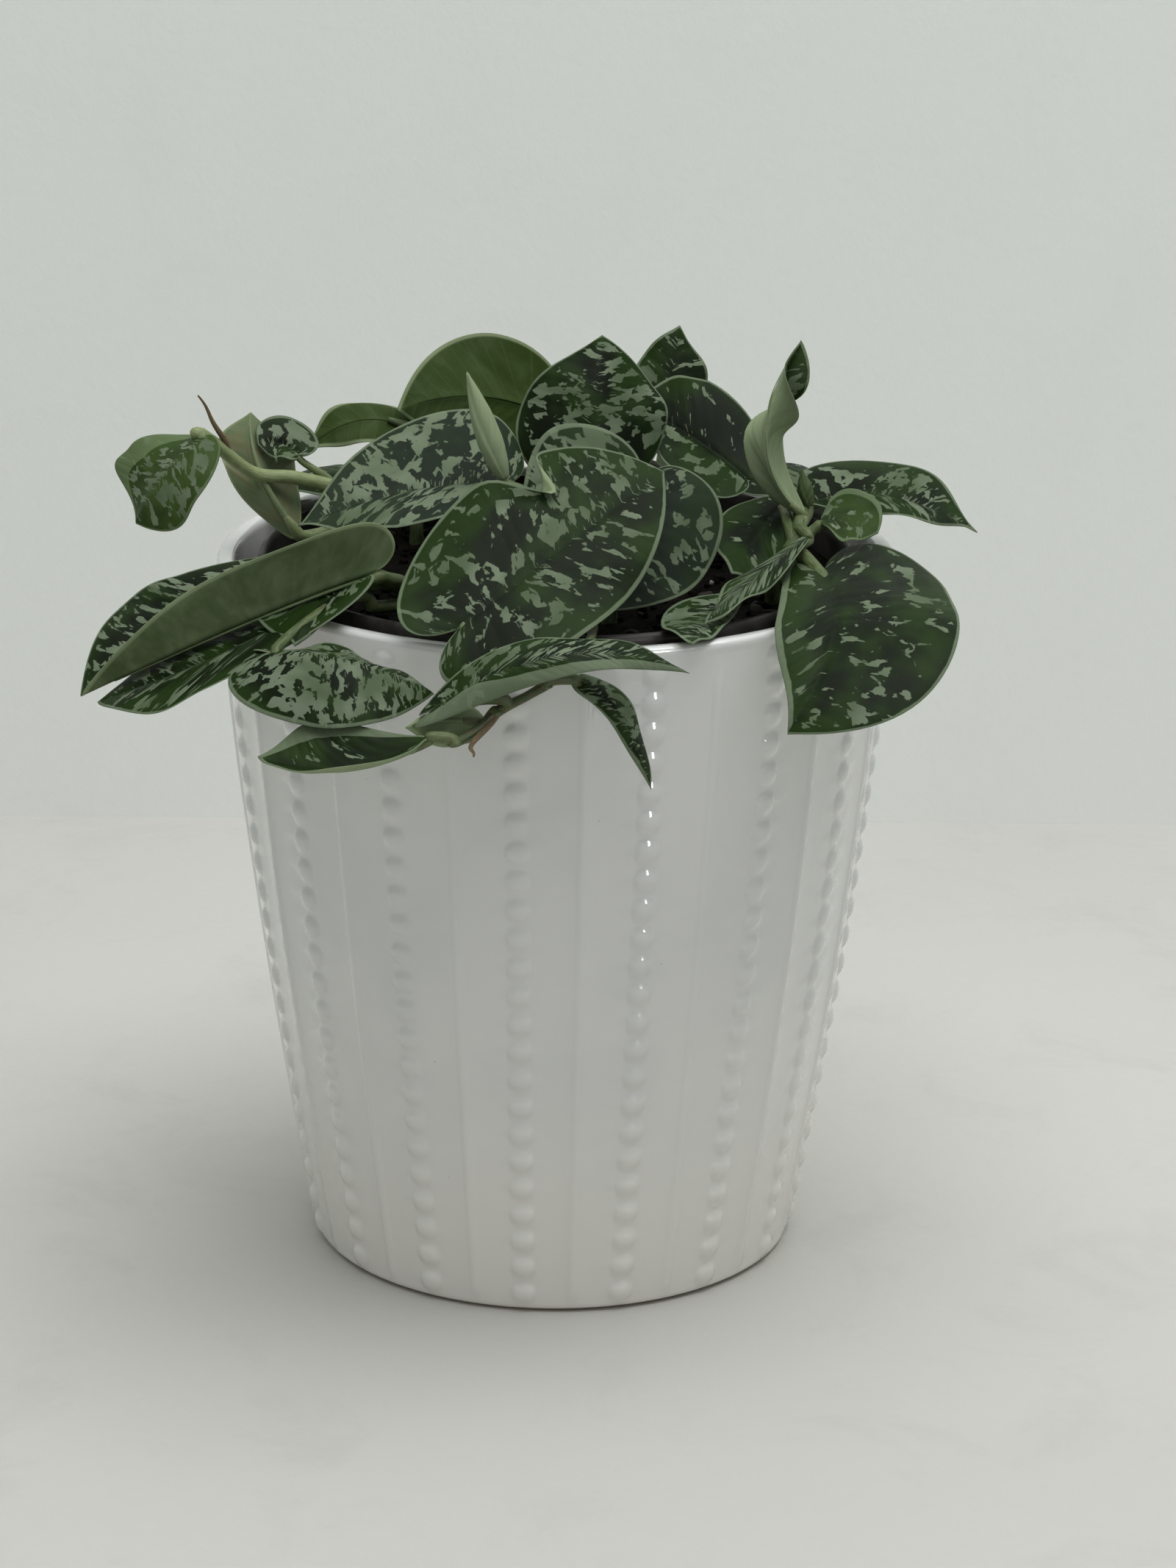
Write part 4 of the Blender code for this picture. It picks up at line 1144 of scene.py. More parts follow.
VINES = (
    Vine("vine_left", ((-44, 6, 163), (-45, 3, 174), (-51, -2, 184), (-61, -5, 188), (-71, -8, 190),
         (-80, -14, 199), (-84, -17, 202)), 1.7, (
        Leaf(0.93, (-82, -18, 201), (-90, -24, 194), (-97, -24, 182), (-82, -29, 190), (-99, -12, 197),
             curl=(-30, 50), wave=0.3, lobe=0.1, full=1.4, petiole=1.0,
             look=Look(0.48, 0.38, 0.62, bands=(0, 5.0), fine=1.2)),
        Leaf(0.22, (-61, -8, 175), (-70, -5, 190), (-72, 5, 201), (-62, 6, 191), (-79, 2, 194),
             curl=(-20, -20), lobe=0.04, full=1.9, petiole=1.5, look=Look(0.3, 0.4, 0.55, 0.4)),
        Leaf(0.45, (-61, -2, 193), (-65, 0, 195), (-70, -2, 195), (-65, -5, 192), (-61, 5, 199),
             curl=(0, 0), wave=0.5, lobe=0.2, full=0.9, petiole=0.8, look=Look(0.6, 0.0, 0.4, fine=1.2)),
    ), bracts=(((-76, -11, 195), (-79, -14, 203), (-83, -15, 210)),), tint=(0.75, 0.15, 0.5)),
    Vine("vine_back_left", ((-18, 26, 163), (-20, 24, 176), (-19, 20, 188)), 1.8, (
        Leaf(0.85, (-36, 14, 195), (-48, 12, 197), (-60, 10, 190), (-46, 18, 201), (-43, 8, 193),
             curl=(20, 20), lobe=0.08, look=Look(0.3, 0.3, 0.12, rib=0.3)),
        Leaf(1.0, (0, 26, 194), (-19, 18, 202), (-38, 12, 200), (-15, 30, 214), (-19, 10, 189),
             curl=(-15, -20), lobe=0.13, full=0.5, look=Look(0.3, 0.3, 0.1, rib=0.3)),
    )),
    Vine("vine_middle", ((-2, -8, 163), (-3, -12, 176), (-5, -18, 186)), 1.8, (
        Leaf(0.9, (-12, -20, 191), (-33, -26, 191), (-59, -36, 185), (-37, -42, 186), (-22, 0, 203),
             curl=(-10, 0), lobe=0.09, full=0.3, petiole=1.3, look=Look(0.52, -0.5, bands=(0.3, 0.2))),
        Bud(1.0, (-12, -25, 193), (-21, -22, 218), 7, look=Look(0.0, 0.9, 0.9)),
    )),
    Vine("vine_front", ((12, -36, 163), (10, -40, 170), (8, -45, 175)), 1.8, (
        Leaf(1.0, (-21, -77, 174), (1, -62, 188), (24, -42, 200), (-20, -49, 197), (7, -78, 173),
             curl=(-10, -10), wave=1.6, lobe=0.17, full=0.7, fuller=(0.5, 0), petiole=1.5,
             look=Look(0.44, 0.08, bands=(0.2, 0.4), notch=(Side.LEFT, 0.6, 0.6, 0.07, 1.4))),
        Leaf(0.7, (21, -28, 195), (18, -38, 182), (13, -48, 169), (37, -32, 181), (7, -32, 180), full=0.7,
             look=Look(0.47, -0.5, bands=(0.3, 0.3))),
    )),
    Vine("vine_back", ((24, 14, 163), (25, 15, 174), (24, 12, 184)), 1.8, (
        Leaf(1.0, (8, -10, 190), (9, -6, 205), (10, 6, 220), (-10, -2, 201), (25, 2, 198), full=0.9,
             fuller=(-0.4, 0), look=Look(0.48, fine=1.2)),
        Leaf(0.9, (26, 30, 190), (27, 34, 201), (29, 42, 214), (18, 36, 203), (36, 38, 197),
             curl=(-20, -20), lobe=0.08, look=Look(0.48, 0.1)),
        Leaf(0.7, (18, -19, 190), (6, -20, 193), (-8, -26, 191), (3, -31, 182), (3, -14, 204),
             curl=(-10, -10), wave=0.4, lobe=0.04, look=Look(0.58, -0.3, bands=(0.3, 0.6))),
        Leaf(0.8, (44, 6, 186), (33, 12, 193), (18, 14, 202), (30, -4, 187), (32, 24, 207), full=0.6,
             look=Look(0.38)),
    )),
    Vine("vine_right", ((50, -20, 163), (52, -18, 170), (56, -13, 178)), 1.8, (
        Leaf(0.9, (52, -5, 182), (46, -16, 178), (40, -31, 173), (51, -24, 172), (38, -12, 181),
             curl=(0, 0), lobe=0.1, look=Look(0.3)),
        Leaf(1.0, (57, -8, 181), (48, -13, 200), (56, -6, 222), (52, -8, 199), (43, -10, 201),
             curl=(-20, -20), twist=150, wave=0.3, lobe=0.03, full=1.7,
             look=Look(0.46, 0.2, 0.85, rib=0.4)),
        Leaf(1.0, (60, 4, 181), (78, 2, 183), (98, -8, 177), (72, 18, 188), (76, -4, 180), lobe=0.05,
             full=0.2, look=Look(0.5, fine=1.1)),
        Leaf(0.85, (61, -14, 181), (67, -16, 182), (74, -20, 180), (69, -8, 187), (67, -24, 179),
             curl=(40, 20), wave=0.5, lobe=0.0, full=0.8, look=Look(0.45, 0.3, bands=(0.8, 0.3), fine=1.3)),
        Bud(0.6, (59, -3, 181), (57, -1, 190), 4.5, look=Look(0.0, 0.3, 0.25)),
        Leaf(0.8, (61, -36, 174), (61, -70, 169), (51, -88, 153), (89, -46, 174), (49, -66, 171), wave=1.5,
             lobe=0.26, full=0.9, fuller=(0.4, -0.6), petiole=1.5, look=Look(0.36, 0.08, bands=(0, 1.2))),
        Leaf(1.0, (58, -20, 179), (45, -46, 177), (33, -68, 172), (48, -50, 176), (40, -44, 175),
             curl=(15, 15), lobe=0.01, look=Look(0.54, bands=(0.5, 0.8), fine=1.4)),
        Leaf(0.5, (40, -44, 171), (33, -58, 170), (30, -80, 171), (38, -62, 170), (24, -58, 171),
             curl=(0, 0), wave=0.6, lobe=0.08, look=Look(0.54, bands=(0.3, 0.3), fine=1.3)),
    )),
    Vine("vine_front_left", ((-34, -34, 163), (-37, -40, 167.5), (-42, -50, 170)), 1.7, (
        Leaf(0.35, (-41, -52, 179), (-70, -62, 170), (-107, -61, 152), (-54, -60, 190), (-102, -42, 167),
             curl=(-10, -10), lobe=0.07, full=0.95, fuller=(-0.25, 0.4), petiole=1.5,
             look=Look(0.5, 0.05, 0.36, rib=0.5)),
        Leaf(0.3, (-46, -55, 177), (-74, -65, 164), (-103, -63, 151), (-86, -78, 154.5), (-72, -47, 168),
             curl=(-20, -20), full=0.8, look=Look(0.44, 0.08, 0.3)),
        Leaf(0.3, (-56, -40, 175), (-56, -62, 173), (-58, -74, 168), (-48, -52, 173), (-67, -58, 170),
             curl=(0, 0), lobe=0.08, look=Look(0.3)),
        Leaf(1.0, (-62, -78, 168), (-44, -86, 168), (-27, -83, 160), (-46, -74, 166), (-55, -96, 157),
             curl=(-10, -15), lobe=0.24, full=0.6,
             look=Look(0.56, 0.05, bands=(0, 0.3), notch=(Side.LEFT, 0.4, 0.22, 0.05, 1.2), fine=1.5)),
    ), tint=(0.1, 0.4, 0.0)),
    Vine("vine_trailing", ((7, -46, 163), (8, -58, 169), (8, -72, 171.4), (6, -84, 170.2), (0, -91, 166.5),
         (-6, -93, 163), (-12, -94, 160), (-17, -97, 156.5), (-22, -100, 154)), 1.1, (
        Leaf(1.0, (-28, -100, 155.5), (-46, -103, 149.5), (-65, -98, 150), (-47, -109, 151),
             (-50, -94, 157), curl=(50, 50), wave=0.4, lobe=0.0, full=0.9,
             look=Look(0.34, 0.12, 0.75, bands=(0.5, 4.0))),
        Leaf(0.75, (-25, -96, 162), (2, -99, 174), (29, -92, 168), (-4, -90, 175), (-6, -102, 168),
             curl=(0, -10), lobe=0.14, full=0.4, look=Look(0.52, bands=(0.2, 4.2), fine=1.35)),
        Leaf(0.8, (-16, -93, 156), (-24, -94, 157), (-33, -92, 155), (-21, -89, 159), (-24, -96, 152),
             curl=(0, 0), wave=0.5, lobe=0.08, look=Look(0.3, 0.3, 0.5)),
        Leaf(0.6, (5, -91, 166), (14, -95, 158), (21, -91, 141), (15, -87, 161), (7, -93, 162),
             curl=(-20, -30), wave=0.5, lobe=0.05, look=Look(0.54, bands=(0.3, 0.3), fine=1.4)),
    # the trailing stem's dark brown tint is partly painted shade from the front leaves above it
    ), bracts=(((-13, -95, 159), (-18, -100, 154), (-18, -103, 152)),), tint=(0.05, 0.85, 0.0)),
)


def rear_leaf(joint: float, azimuth: float, radius: float, height: float, length: float,
              droop: float) -> Leaf:
    """A leaf on the far side that points outward.

    Args:
        joint: Its place on the stem.
        azimuth: Its direction, clockwise from +Y in degrees.
        radius: How far out its base is.
        height: How high its base is.
        length: How long its blade is.
        droop: How far its tip hangs below its base.

    Returns:
        The leaf.
    """
    a = math.radians(azimuth)
    out, aside = np.array((math.sin(a), math.cos(a), 0)), np.array((math.cos(a), -math.sin(a), 0))
    up = np.array((0, 0, 1))
    base = radius * out + height * up
    crown = base + 0.5 * length * out
    tip = base + 0.92 * length * out - droop * up
    widest = base + 0.36 * length * out - 2 * up
    half = 0.36 * length
    places = (base, crown, tip, widest - half * aside, widest + half * aside)
    return Leaf(joint, *(tuple(np.round(p)) for p in places))


REAR_VINES = (
    Vine("vine_rear_left", ((-34, 30, 163), (-35, 32, 171), (-37, 36, 177)), 1.7, (
        rear_leaf(0.8, -56, 54, 178, 36, 12),
        rear_leaf(1.0, -26, 53, 180, 40, 15),
    )),
    Vine("vine_rear", ((4, 44, 163), (4, 45, 174), (6, 46, 182)), 1.7, (
        rear_leaf(0.8, 2, 56, 181, 42, 18),
        rear_leaf(1.0, 12, 38, 196, 38, 8),
        rear_leaf(1.0, -24, 40, 192, 34, 6),
    )),
    Vine("vine_rear_right", ((36, 34, 163), (37, 36, 171), (40, 40, 177)), 1.7, (
        rear_leaf(0.9, 28, 54, 182, 42, 18),
        rear_leaf(1.0, 55, 54, 179, 38, 14),
    )),
)


@dataclass(frozen=True)
class BladeForm:
    """Numbers that all blades share, in millimetres, degrees and shares."""

    widest_range: tuple[float, float] = (0.12, 0.62)
    lobe_rows: float = 0.45
    vein_start: float = 0.22
    vein_sweep: float = 0.85
    twist_from: float = 0.45
    twist_span: float = 0.40
    waves: float = 2.3
    sink: float = 5.0
    rows: int = 56
    columns: int = 16
    midrib_steps: int = 96
    last_column: float = 0.955
    thickness: float = 0.52
    margin_thickness: float = 0.30  # share of the thickness
    margin_round: float = 0.16
    groove: float = 0.32
    groove_width: float = 0.8
    pucker: float = 0.10
    uneven: float = 0.16
    swells: tuple = ((0.23, 0.31, 1), (0.41, -0.27, 2))  # steps across and along the veins, and of the phase
    root_power: float = 1.15
    fan_bend: float = 1.5
    column_power: float = 1.12
    other_phase: float = 2.1
    rib_span: tuple[float, float] = (-0.01, 0.88)
    rib_radius: float = 0.12
    rib_steps: int = 30
    rib_sides: int = 10


FORM = BladeForm()


def both(left: Array, right: Array) -> Array:
    """Both halves' grids side by side, from the left margin over the midrib to the right one."""
    return np.concatenate([left[:, :0:-1], right], axis=1)


def round_margin(values: Array) -> Array:
    """Values on the top, then for the right margin, the underside and the left margin."""
    return np.concatenate([values, values[:, -1:], values[:, ::-1], values[:, :1]], axis=1)


@dataclass
class Blade:
    """The curved sheet of one leaf, worked out from its five places."""

    leaf: Leaf

    def __post_init__(self) -> None:
        """Works out the midrib and both halves."""
        leaf = self.leaf
        base, crown, tip = (np.array(p, float) for p in (leaf.base, leaf.crown, leaf.tip))
        bend = 2 * crown - 0.5 * (base + tip)
        t = np.linspace(0, 1, FORM.midrib_steps + 1)[:, None]
        self.points = (1 - t) ** 2 * base + 2 * (1 - t) * t * bend + t**2 * tip
        self.tangents = unit(2 * (1 - t) * (bend - base) + 2 * t * (tip - bend))
        steps = np.linalg.norm(np.diff(self.points, axis=0), axis=1)
        self.length = steps.sum()
        self.stations = np.concatenate([[0], np.cumsum(steps)]) / self.length
        self.across = unit(np.cross(bend - base, tip - bend))
        self.halves = {side: self.half_form(widest, curl)
                       for side, widest, curl in zip(Side, (leaf.left, leaf.right), leaf.curl)}

    def half_form(self, widest: Place, curl: float) -> tuple[float, float, float, float]:
        """Works out one half.

        Args:
            widest: Its widest place.
            curl: How far it turns up, in degrees.

        Returns:
            Where it is widest, the way it leaves the midrib there, its width and its curl.
        """
        offsets = np.array(widest, float) - self.points
        along = (offsets * self.tangents).sum(axis=1)
        outside = (self.stations < FORM.widest_range[0]) | (self.stations > FORM.widest_range[1])
        k = np.argmin(np.abs(along) + 1000 * outside)
        outward = offsets[k] - along[k] * self.tangents[k]
        chord = np.linalg.norm(outward)
        up = np.cross(self.across, self.tangents[k])
        turn = math.radians(curl)
        width = chord * (turn / 2) / math.sin(turn / 2) if curl else chord
        return self.stations[k], math.atan2(outward @ up, outward @ self.across), width, turn

    def midrib(self, x: Array) -> tuple[Array, Array]:
        """Places and directions on the midrib, which runs on straight behind the base.

        Args:
            x: Stations along it, below 0 behind the base.

        Returns:
            The places and the directions.
        """
        place, tangent = (np.stack([np.interp(np.clip(x, 0, 1), self.stations, c) for c in known.T], -1)
                          for known in (self.points, self.tangents))
        tangent = unit(tangent)
        return place + np.minimum(x, 0)[..., None] * self.length * tangent, tangent

    def surface(self, side: Side, x: Array, y: Array, lift: Array) -> Array:
        """Points of one half.

        Args:
            side: The half.
            x: Stations along the midrib.
            y: Shares of the half width.
            lift: How far each point is raised.

        Returns:
            The points.
        """
        _, angle, width, turn = self.halves[side]
        place, tangent = self.midrib(x)
        twisted = smoothstep(x, FORM.twist_from, FORM.twist_from + FORM.twist_span)
        angle = angle + math.radians(self.leaf.twist) * twisted
        up = np.cross(self.across, tangent)
        outward = np.cos(angle)[..., None] * self.across + np.sin(angle)[..., None] * up
        normal = np.cross(outward, tangent) * side.value
        bend = turn * y - turn / 2
        if turn:
            out = width * (np.sin(bend) + math.sin(turn / 2)) / turn
            rise = width * (math.cos(turn / 2) - np.cos(bend)) / turn
        else:
            out, rise = width * y, 0 * y
        out = out - lift * np.sin(bend)
        rise = rise + lift * np.cos(bend)
        return place + outward * out[..., None] + normal * rise[..., None]

    def outline(self, side: Side) -> Array:
        """The margin from the base round to the tip.

        Args:
            side: The half.

        Returns:
            A share of midrib length and of half width for each row.
        """
        widest, lobe = self.halves[side][0], self.leaf.lobe
        first = round(FORM.rows * FORM.lobe_rows)
        back = min(0.30, widest + 0.5 * lobe) + 0.9 * lobe
        reach = 1 - widest
        full = self.leaf.full + self.leaf.fuller[side is Side.RIGHT]
        round_lobe = ((0, 0), (-2.1 * lobe, 0.16), (widest - back, 1), (widest, 1))
        to_tip = ((widest, 1), (widest + 0.45 * reach, 1), (1 - 0.30 * reach, full), (1, 0))
        return np.vstack([cubic(round_lobe, np.linspace(0, 1, first + 1)),
                          cubic(to_tip, np.linspace(0, 1, FORM.rows - first + 1)[1:])])

    def lift(self, v: Array, u: Array, across: Array, along: Array, phase: float) -> Array:
        """How far one half's points stand out: its waves, puckers, swells and the midrib's groove.

        Args:
            v: Shares from base to tip.
            u: Shares from midrib to margin.
            across: Mm across the side veins.
            along: Mm from the midrib.
            phase: Where its waves start.

        Returns:
            The lift in mm.
        """
        wave = np.sin(FULL_TURN * FORM.waves * v + phase) * np.sqrt(np.sin(math.pi * v).clip(0))
        body = np.sin(math.pi * v) * np.sin(math.pi * u) ** 0.7
        puckers = FORM.pucker * np.abs(np.sin(math.pi * across / VEIN_GAP))
        swells = sum(np.sin(a * across + b * along + c * phase) for a, b, c in FORM.swells)
        groove = FORM.groove * np.exp(-((along / FORM.groove_width) ** 2)) * smoothstep(1 - v, 0.0, 0.3)
        return self.leaf.wave * wave * u**2 + body * (puckers + FORM.uneven * swells) - groove

    def half(self, side: Side) -> tuple[Array, Array, Array]:
        """One half in detail.

        Args:
            side: The half.

        Returns:
            Its points, its vein coordinates and its shares from midrib to margin, as grids.
        """
        edge = self.outline(side)
        v = np.linspace(0, 1, FORM.rows + 1)[:, None]
        u = np.linspace(0, 1, FORM.columns) ** FORM.column_power
        u = np.append(FORM.last_column * u, 1.0)[None, :]
        root = np.clip((v - FORM.vein_start) / (1 - FORM.vein_start), 0, 1) ** FORM.root_power
        x = root + (edge[:, :1] - root) * u**FORM.vein_sweep
        y = edge[:, 1:] * u
        along = y * self.halves[side][2]
        fan = np.clip(1 - v / FORM.vein_start, 0, 1)
        across = root * self.length - FORM.fan_bend * fan * np.hypot(x * self.length, along)
        lift = self.lift(v, u, across, along, self.length + (side is Side.RIGHT) * FORM.other_phase)
        notch = self.leaf.look.notch
        if notch and notch[0] is side:
            _, place, depth, spread, rise = notch
            fold = np.exp(-(((v - place) / spread) ** 2))
            y = y * (1 - depth * fold * u**2)
            lift = lift + rise * fold * smoothstep(u, 0.55, 1.0)
        veins = np.stack([across, along * side.value, 0 * x], axis=-1)
        return self.surface(side, x, y, lift), veins, u + 0 * v

    def sideways(self, x: Array, y: float) -> Array:
        """The ways from the left half to the right one.

        Args:
            x: Stations along the midrib.
            y: How far out it looks, as a share of the half width.

        Returns:
            The ways, each with length 1.
        """
        left, right = (self.surface(side, x, 0 * x + y, 0 * x) for side in Side)
        return unit(right - left)

    def seat(self) -> tuple[Array, Array, Array, Array]:
        """Where the petiole joins.

        Returns:
            Where it ends, its direction, the top side's normal and a point further in.
        """
        place, tangent = self.midrib(np.zeros(1))
        across = self.sideways(np.zeros(1), 0.2)[0]
        normal = unit(np.cross(across, tangent[0]))
        sunk, _ = self.midrib(np.array([FORM.sink / self.length]))
        return place[0], tangent[0], normal, sunk[0] - 0.25 * normal + 0.12 * across

    def normals(self, grid: Array) -> Array:
        """The top side's normals over the whole blade.

        Args:
            grid: Its points, from left margin to right margin.

        Returns:
            A normal for each point.
        """
        found = np.cross(np.gradient(grid, axis=1), np.gradient(grid, axis=0))
        length = np.linalg.norm(found, axis=-1, keepdims=True)
        blurred = np.where(length > 1e-7, found / np.maximum(length, 1e-12), self.seat()[2])
        for _ in range(2):
            blurred[1:-1] = blurred[1:-1] + 0.5 * (blurred[:-2] + blurred[2:])
            blurred[:, 1:-1] = blurred[:, 1:-1] + 0.5 * (blurred[:, :-2] + blurred[:, 2:])
            blurred = unit(blurred)
        return blurred

    def margin_distance(self, grid: Array) -> Array:
        """How far each point is from the pale band at the margin, along its row, in mm.

        Args:
            grid: The blade's points, from left margin to right margin.

        Returns:
            The distances.
        """
        steps = np.linalg.norm(np.diff(grid, axis=1), axis=-1)
        middle = grid.shape[1] // 2
        left, right = (np.cumsum(np.pad(half, ((0, 0), (1, 0))), axis=1)
                       for half in (steps[:, :middle], steps[:, :middle - 1:-1]))
        bands = np.where(np.arange(grid.shape[1]) < middle, *self.leaf.look.bands)
        reach = np.sqrt(np.sin(math.pi * np.linspace(0, 1, len(grid))[:, None] ** 0.65))
        return np.concatenate([left, right[:, -2::-1]], axis=1) - bands * reach

    def add_to(self, mould: Mould, seed: float) -> None:
        """Adds the blade as a closed skin, its top, rounded margin and underside, and its midrib.

        Args:
            mould: What it is added to.
            seed: Where in the pattern it starts.
        """
        look = self.leaf.look
        grid, veins, share = (both(*halves) for halves in zip(self.half(Side.LEFT), self.half(Side.RIGHT)))
        veins[..., :2] *= look.fine
        veins[..., 2] = seed
        taper = FORM.margin_thickness + (1 - FORM.margin_thickness) * np.sqrt(np.clip(1 - share**5, 0, 1))
        half_thick = self.normals(grid) * (0.5 * FORM.thickness * taper)[..., None]
        top, under = grid + half_thick, grid - half_thick
        right, left = (rim + FORM.margin_round * unit(rim - beside) for rim, beside in
                       ((grid[:, -1:], grid[:, -2:-1]), (grid[:, :1], grid[:, 1:2])))
        skin = np.concatenate([top, right, under[:, ::-1], left], axis=1)
        kinds = np.full((1, skin.shape[1]), Skin.UNDERSIDE.value)
        kinds[0, :grid.shape[1]] = kinds[0, -1] = Skin.TOP.value
        margin = round_margin(self.margin_distance(grid))
        leaf = np.stack([look.silver + 0 * margin, margin, 0 * margin], axis=-1)
        tint = np.array((look.pale, look.brown, look.fresh_or_sheen))
        mould.add_grid(skin, kinds, veins=round_margin(veins), leaf=leaf, tint=tint)
        x = np.linspace(*FORM.rib_span, FORM.rib_steps)
        place, tangent = self.midrib(x)
        normal = unit(np.cross(self.sideways(x.clip(0), 0.1), tangent))
        radii = look.rib * (0.5 * self.leaf.petiole * (1 - x.clip(0)) ** 0.8 + FORM.rib_radius)
        depth = FORM.rib_radius + radii + FORM.groove * smoothstep(1 - x, 0.0, 0.3)
        tint = (look.pale, 0.6 * look.brown, look.fresh_or_sheen)
        mould.add_tube(place - depth[:, None] * normal, radii, FORM.rib_sides, Skin.UNDERSIDE, tint, seed)


@dataclass
class RolledBlade:
    """The closed roll of a young leaf, with its free edge standing out along one side."""

    leaf: Bud
    steps: int = 36
    sides: int = 40
    overlap: float = 0.3  # share of the radius lost in one turn
    swirl: float = 0.9
    stations: tuple = (0, 0.12, 0.35, 0.6, 0.82, 1)
    girths: tuple = (0.30, 0.75, 1, 0.85, 0.45, 0.04)
    vein_steps: tuple[float, float] = (30, 3)  # mm of pattern along the roll, and round it for each radian

    def __post_init__(self) -> None:
        """Works out the roll's axes."""
        self.base = np.array(self.leaf.base, float)
        self.axis = np.array(self.leaf.tip, float) - self.base
        self.aside = unit(np.cross(self.axis, (0, 1, 0)))
        self.front = unit(np.cross(self.axis, self.aside))

    def seat(self) -> tuple[Array, Array, Array, Array]:
        """Where the petiole joins.

        Returns:
            Where it ends, its direction, no offset to one side and a point further in.
        """
        tangent = unit(self.axis)
        return self.base, tangent, np.zeros(3), self.base + 0.7 * FORM.sink * tangent

    def add_to(self, mould: Mould, seed: float) -> None:
        """Adds the roll: a closed body with a step where its free edge lies.

        Args:
            mould: What it is added to.
            seed: Where in the pattern it starts.
        """
        look = self.leaf.look
        share = np.linspace(0, 1, self.steps)
        girth = np.interp(share, self.stations, self.girths)
        girth = np.convolve(np.pad(girth, 2, mode="edge"), np.ones(5) / 5, mode="valid")
        turn = np.linspace(0, FULL_TURN, self.sides + 1)
        radius = self.leaf.width / 2 * girth[:, None] * (1 - self.overlap * turn / FULL_TURN)
        swirl = turn + self.swirl * share[:, None]
        roll = (self.base + share[:, None, None] * self.axis
                + (radius * np.cos(swirl))[..., None] * self.front
                + (radius * np.sin(swirl))[..., None] * self.aside)
        roll[0], roll[-1] = self.base, self.base + self.axis
        far, turned = self.vein_steps
        across, along = share[:, None] * far + 2 * turned * swirl, turned * swirl
        veins = np.stack([across, along, 0 * swirl + seed], axis=-1)
        leaf, tint = np.array((look.silver, NO_MARGIN, 0)), np.array((look.pale, look.brown, look.fresh_or_sheen))
        mould.add_grid(roll, Skin.UNDERSIDE.value, veins=veins, leaf=leaf, tint=tint)


def petiole_path(blade: Blade | RolledBlade, start: Array, steps: int) -> Array:
    """The way from the stem to the base and a little on inside the midrib.

    Args:
        blade: Where it leads.
        start: Where it leaves the stem.
        steps: How many spans it has.

    Returns:
        Its points.
    """
    base, tangent, normal, sunk = blade.seat()
    reach = np.linalg.norm(base - start)
    lean = 0.75 * min(max((base[2] - start[2]) / reach + 0.2, 0), 1)
    leaving = start + np.array((0, 0, 0.30 * reach))
    arriving = base - (0.35 * tangent + lean * normal) * 0.38 * reach
    path = cubic((start, leaving, arriving, base), np.linspace(0, 1, steps + 1))
    under = 0.95 * blade.leaf.petiole * normal
    inside = (base - under, 0.5 * (base + sunk) - under, sunk - under)
    return np.vstack([path[:-2], path[-2] - 0.5 * under, *inside])


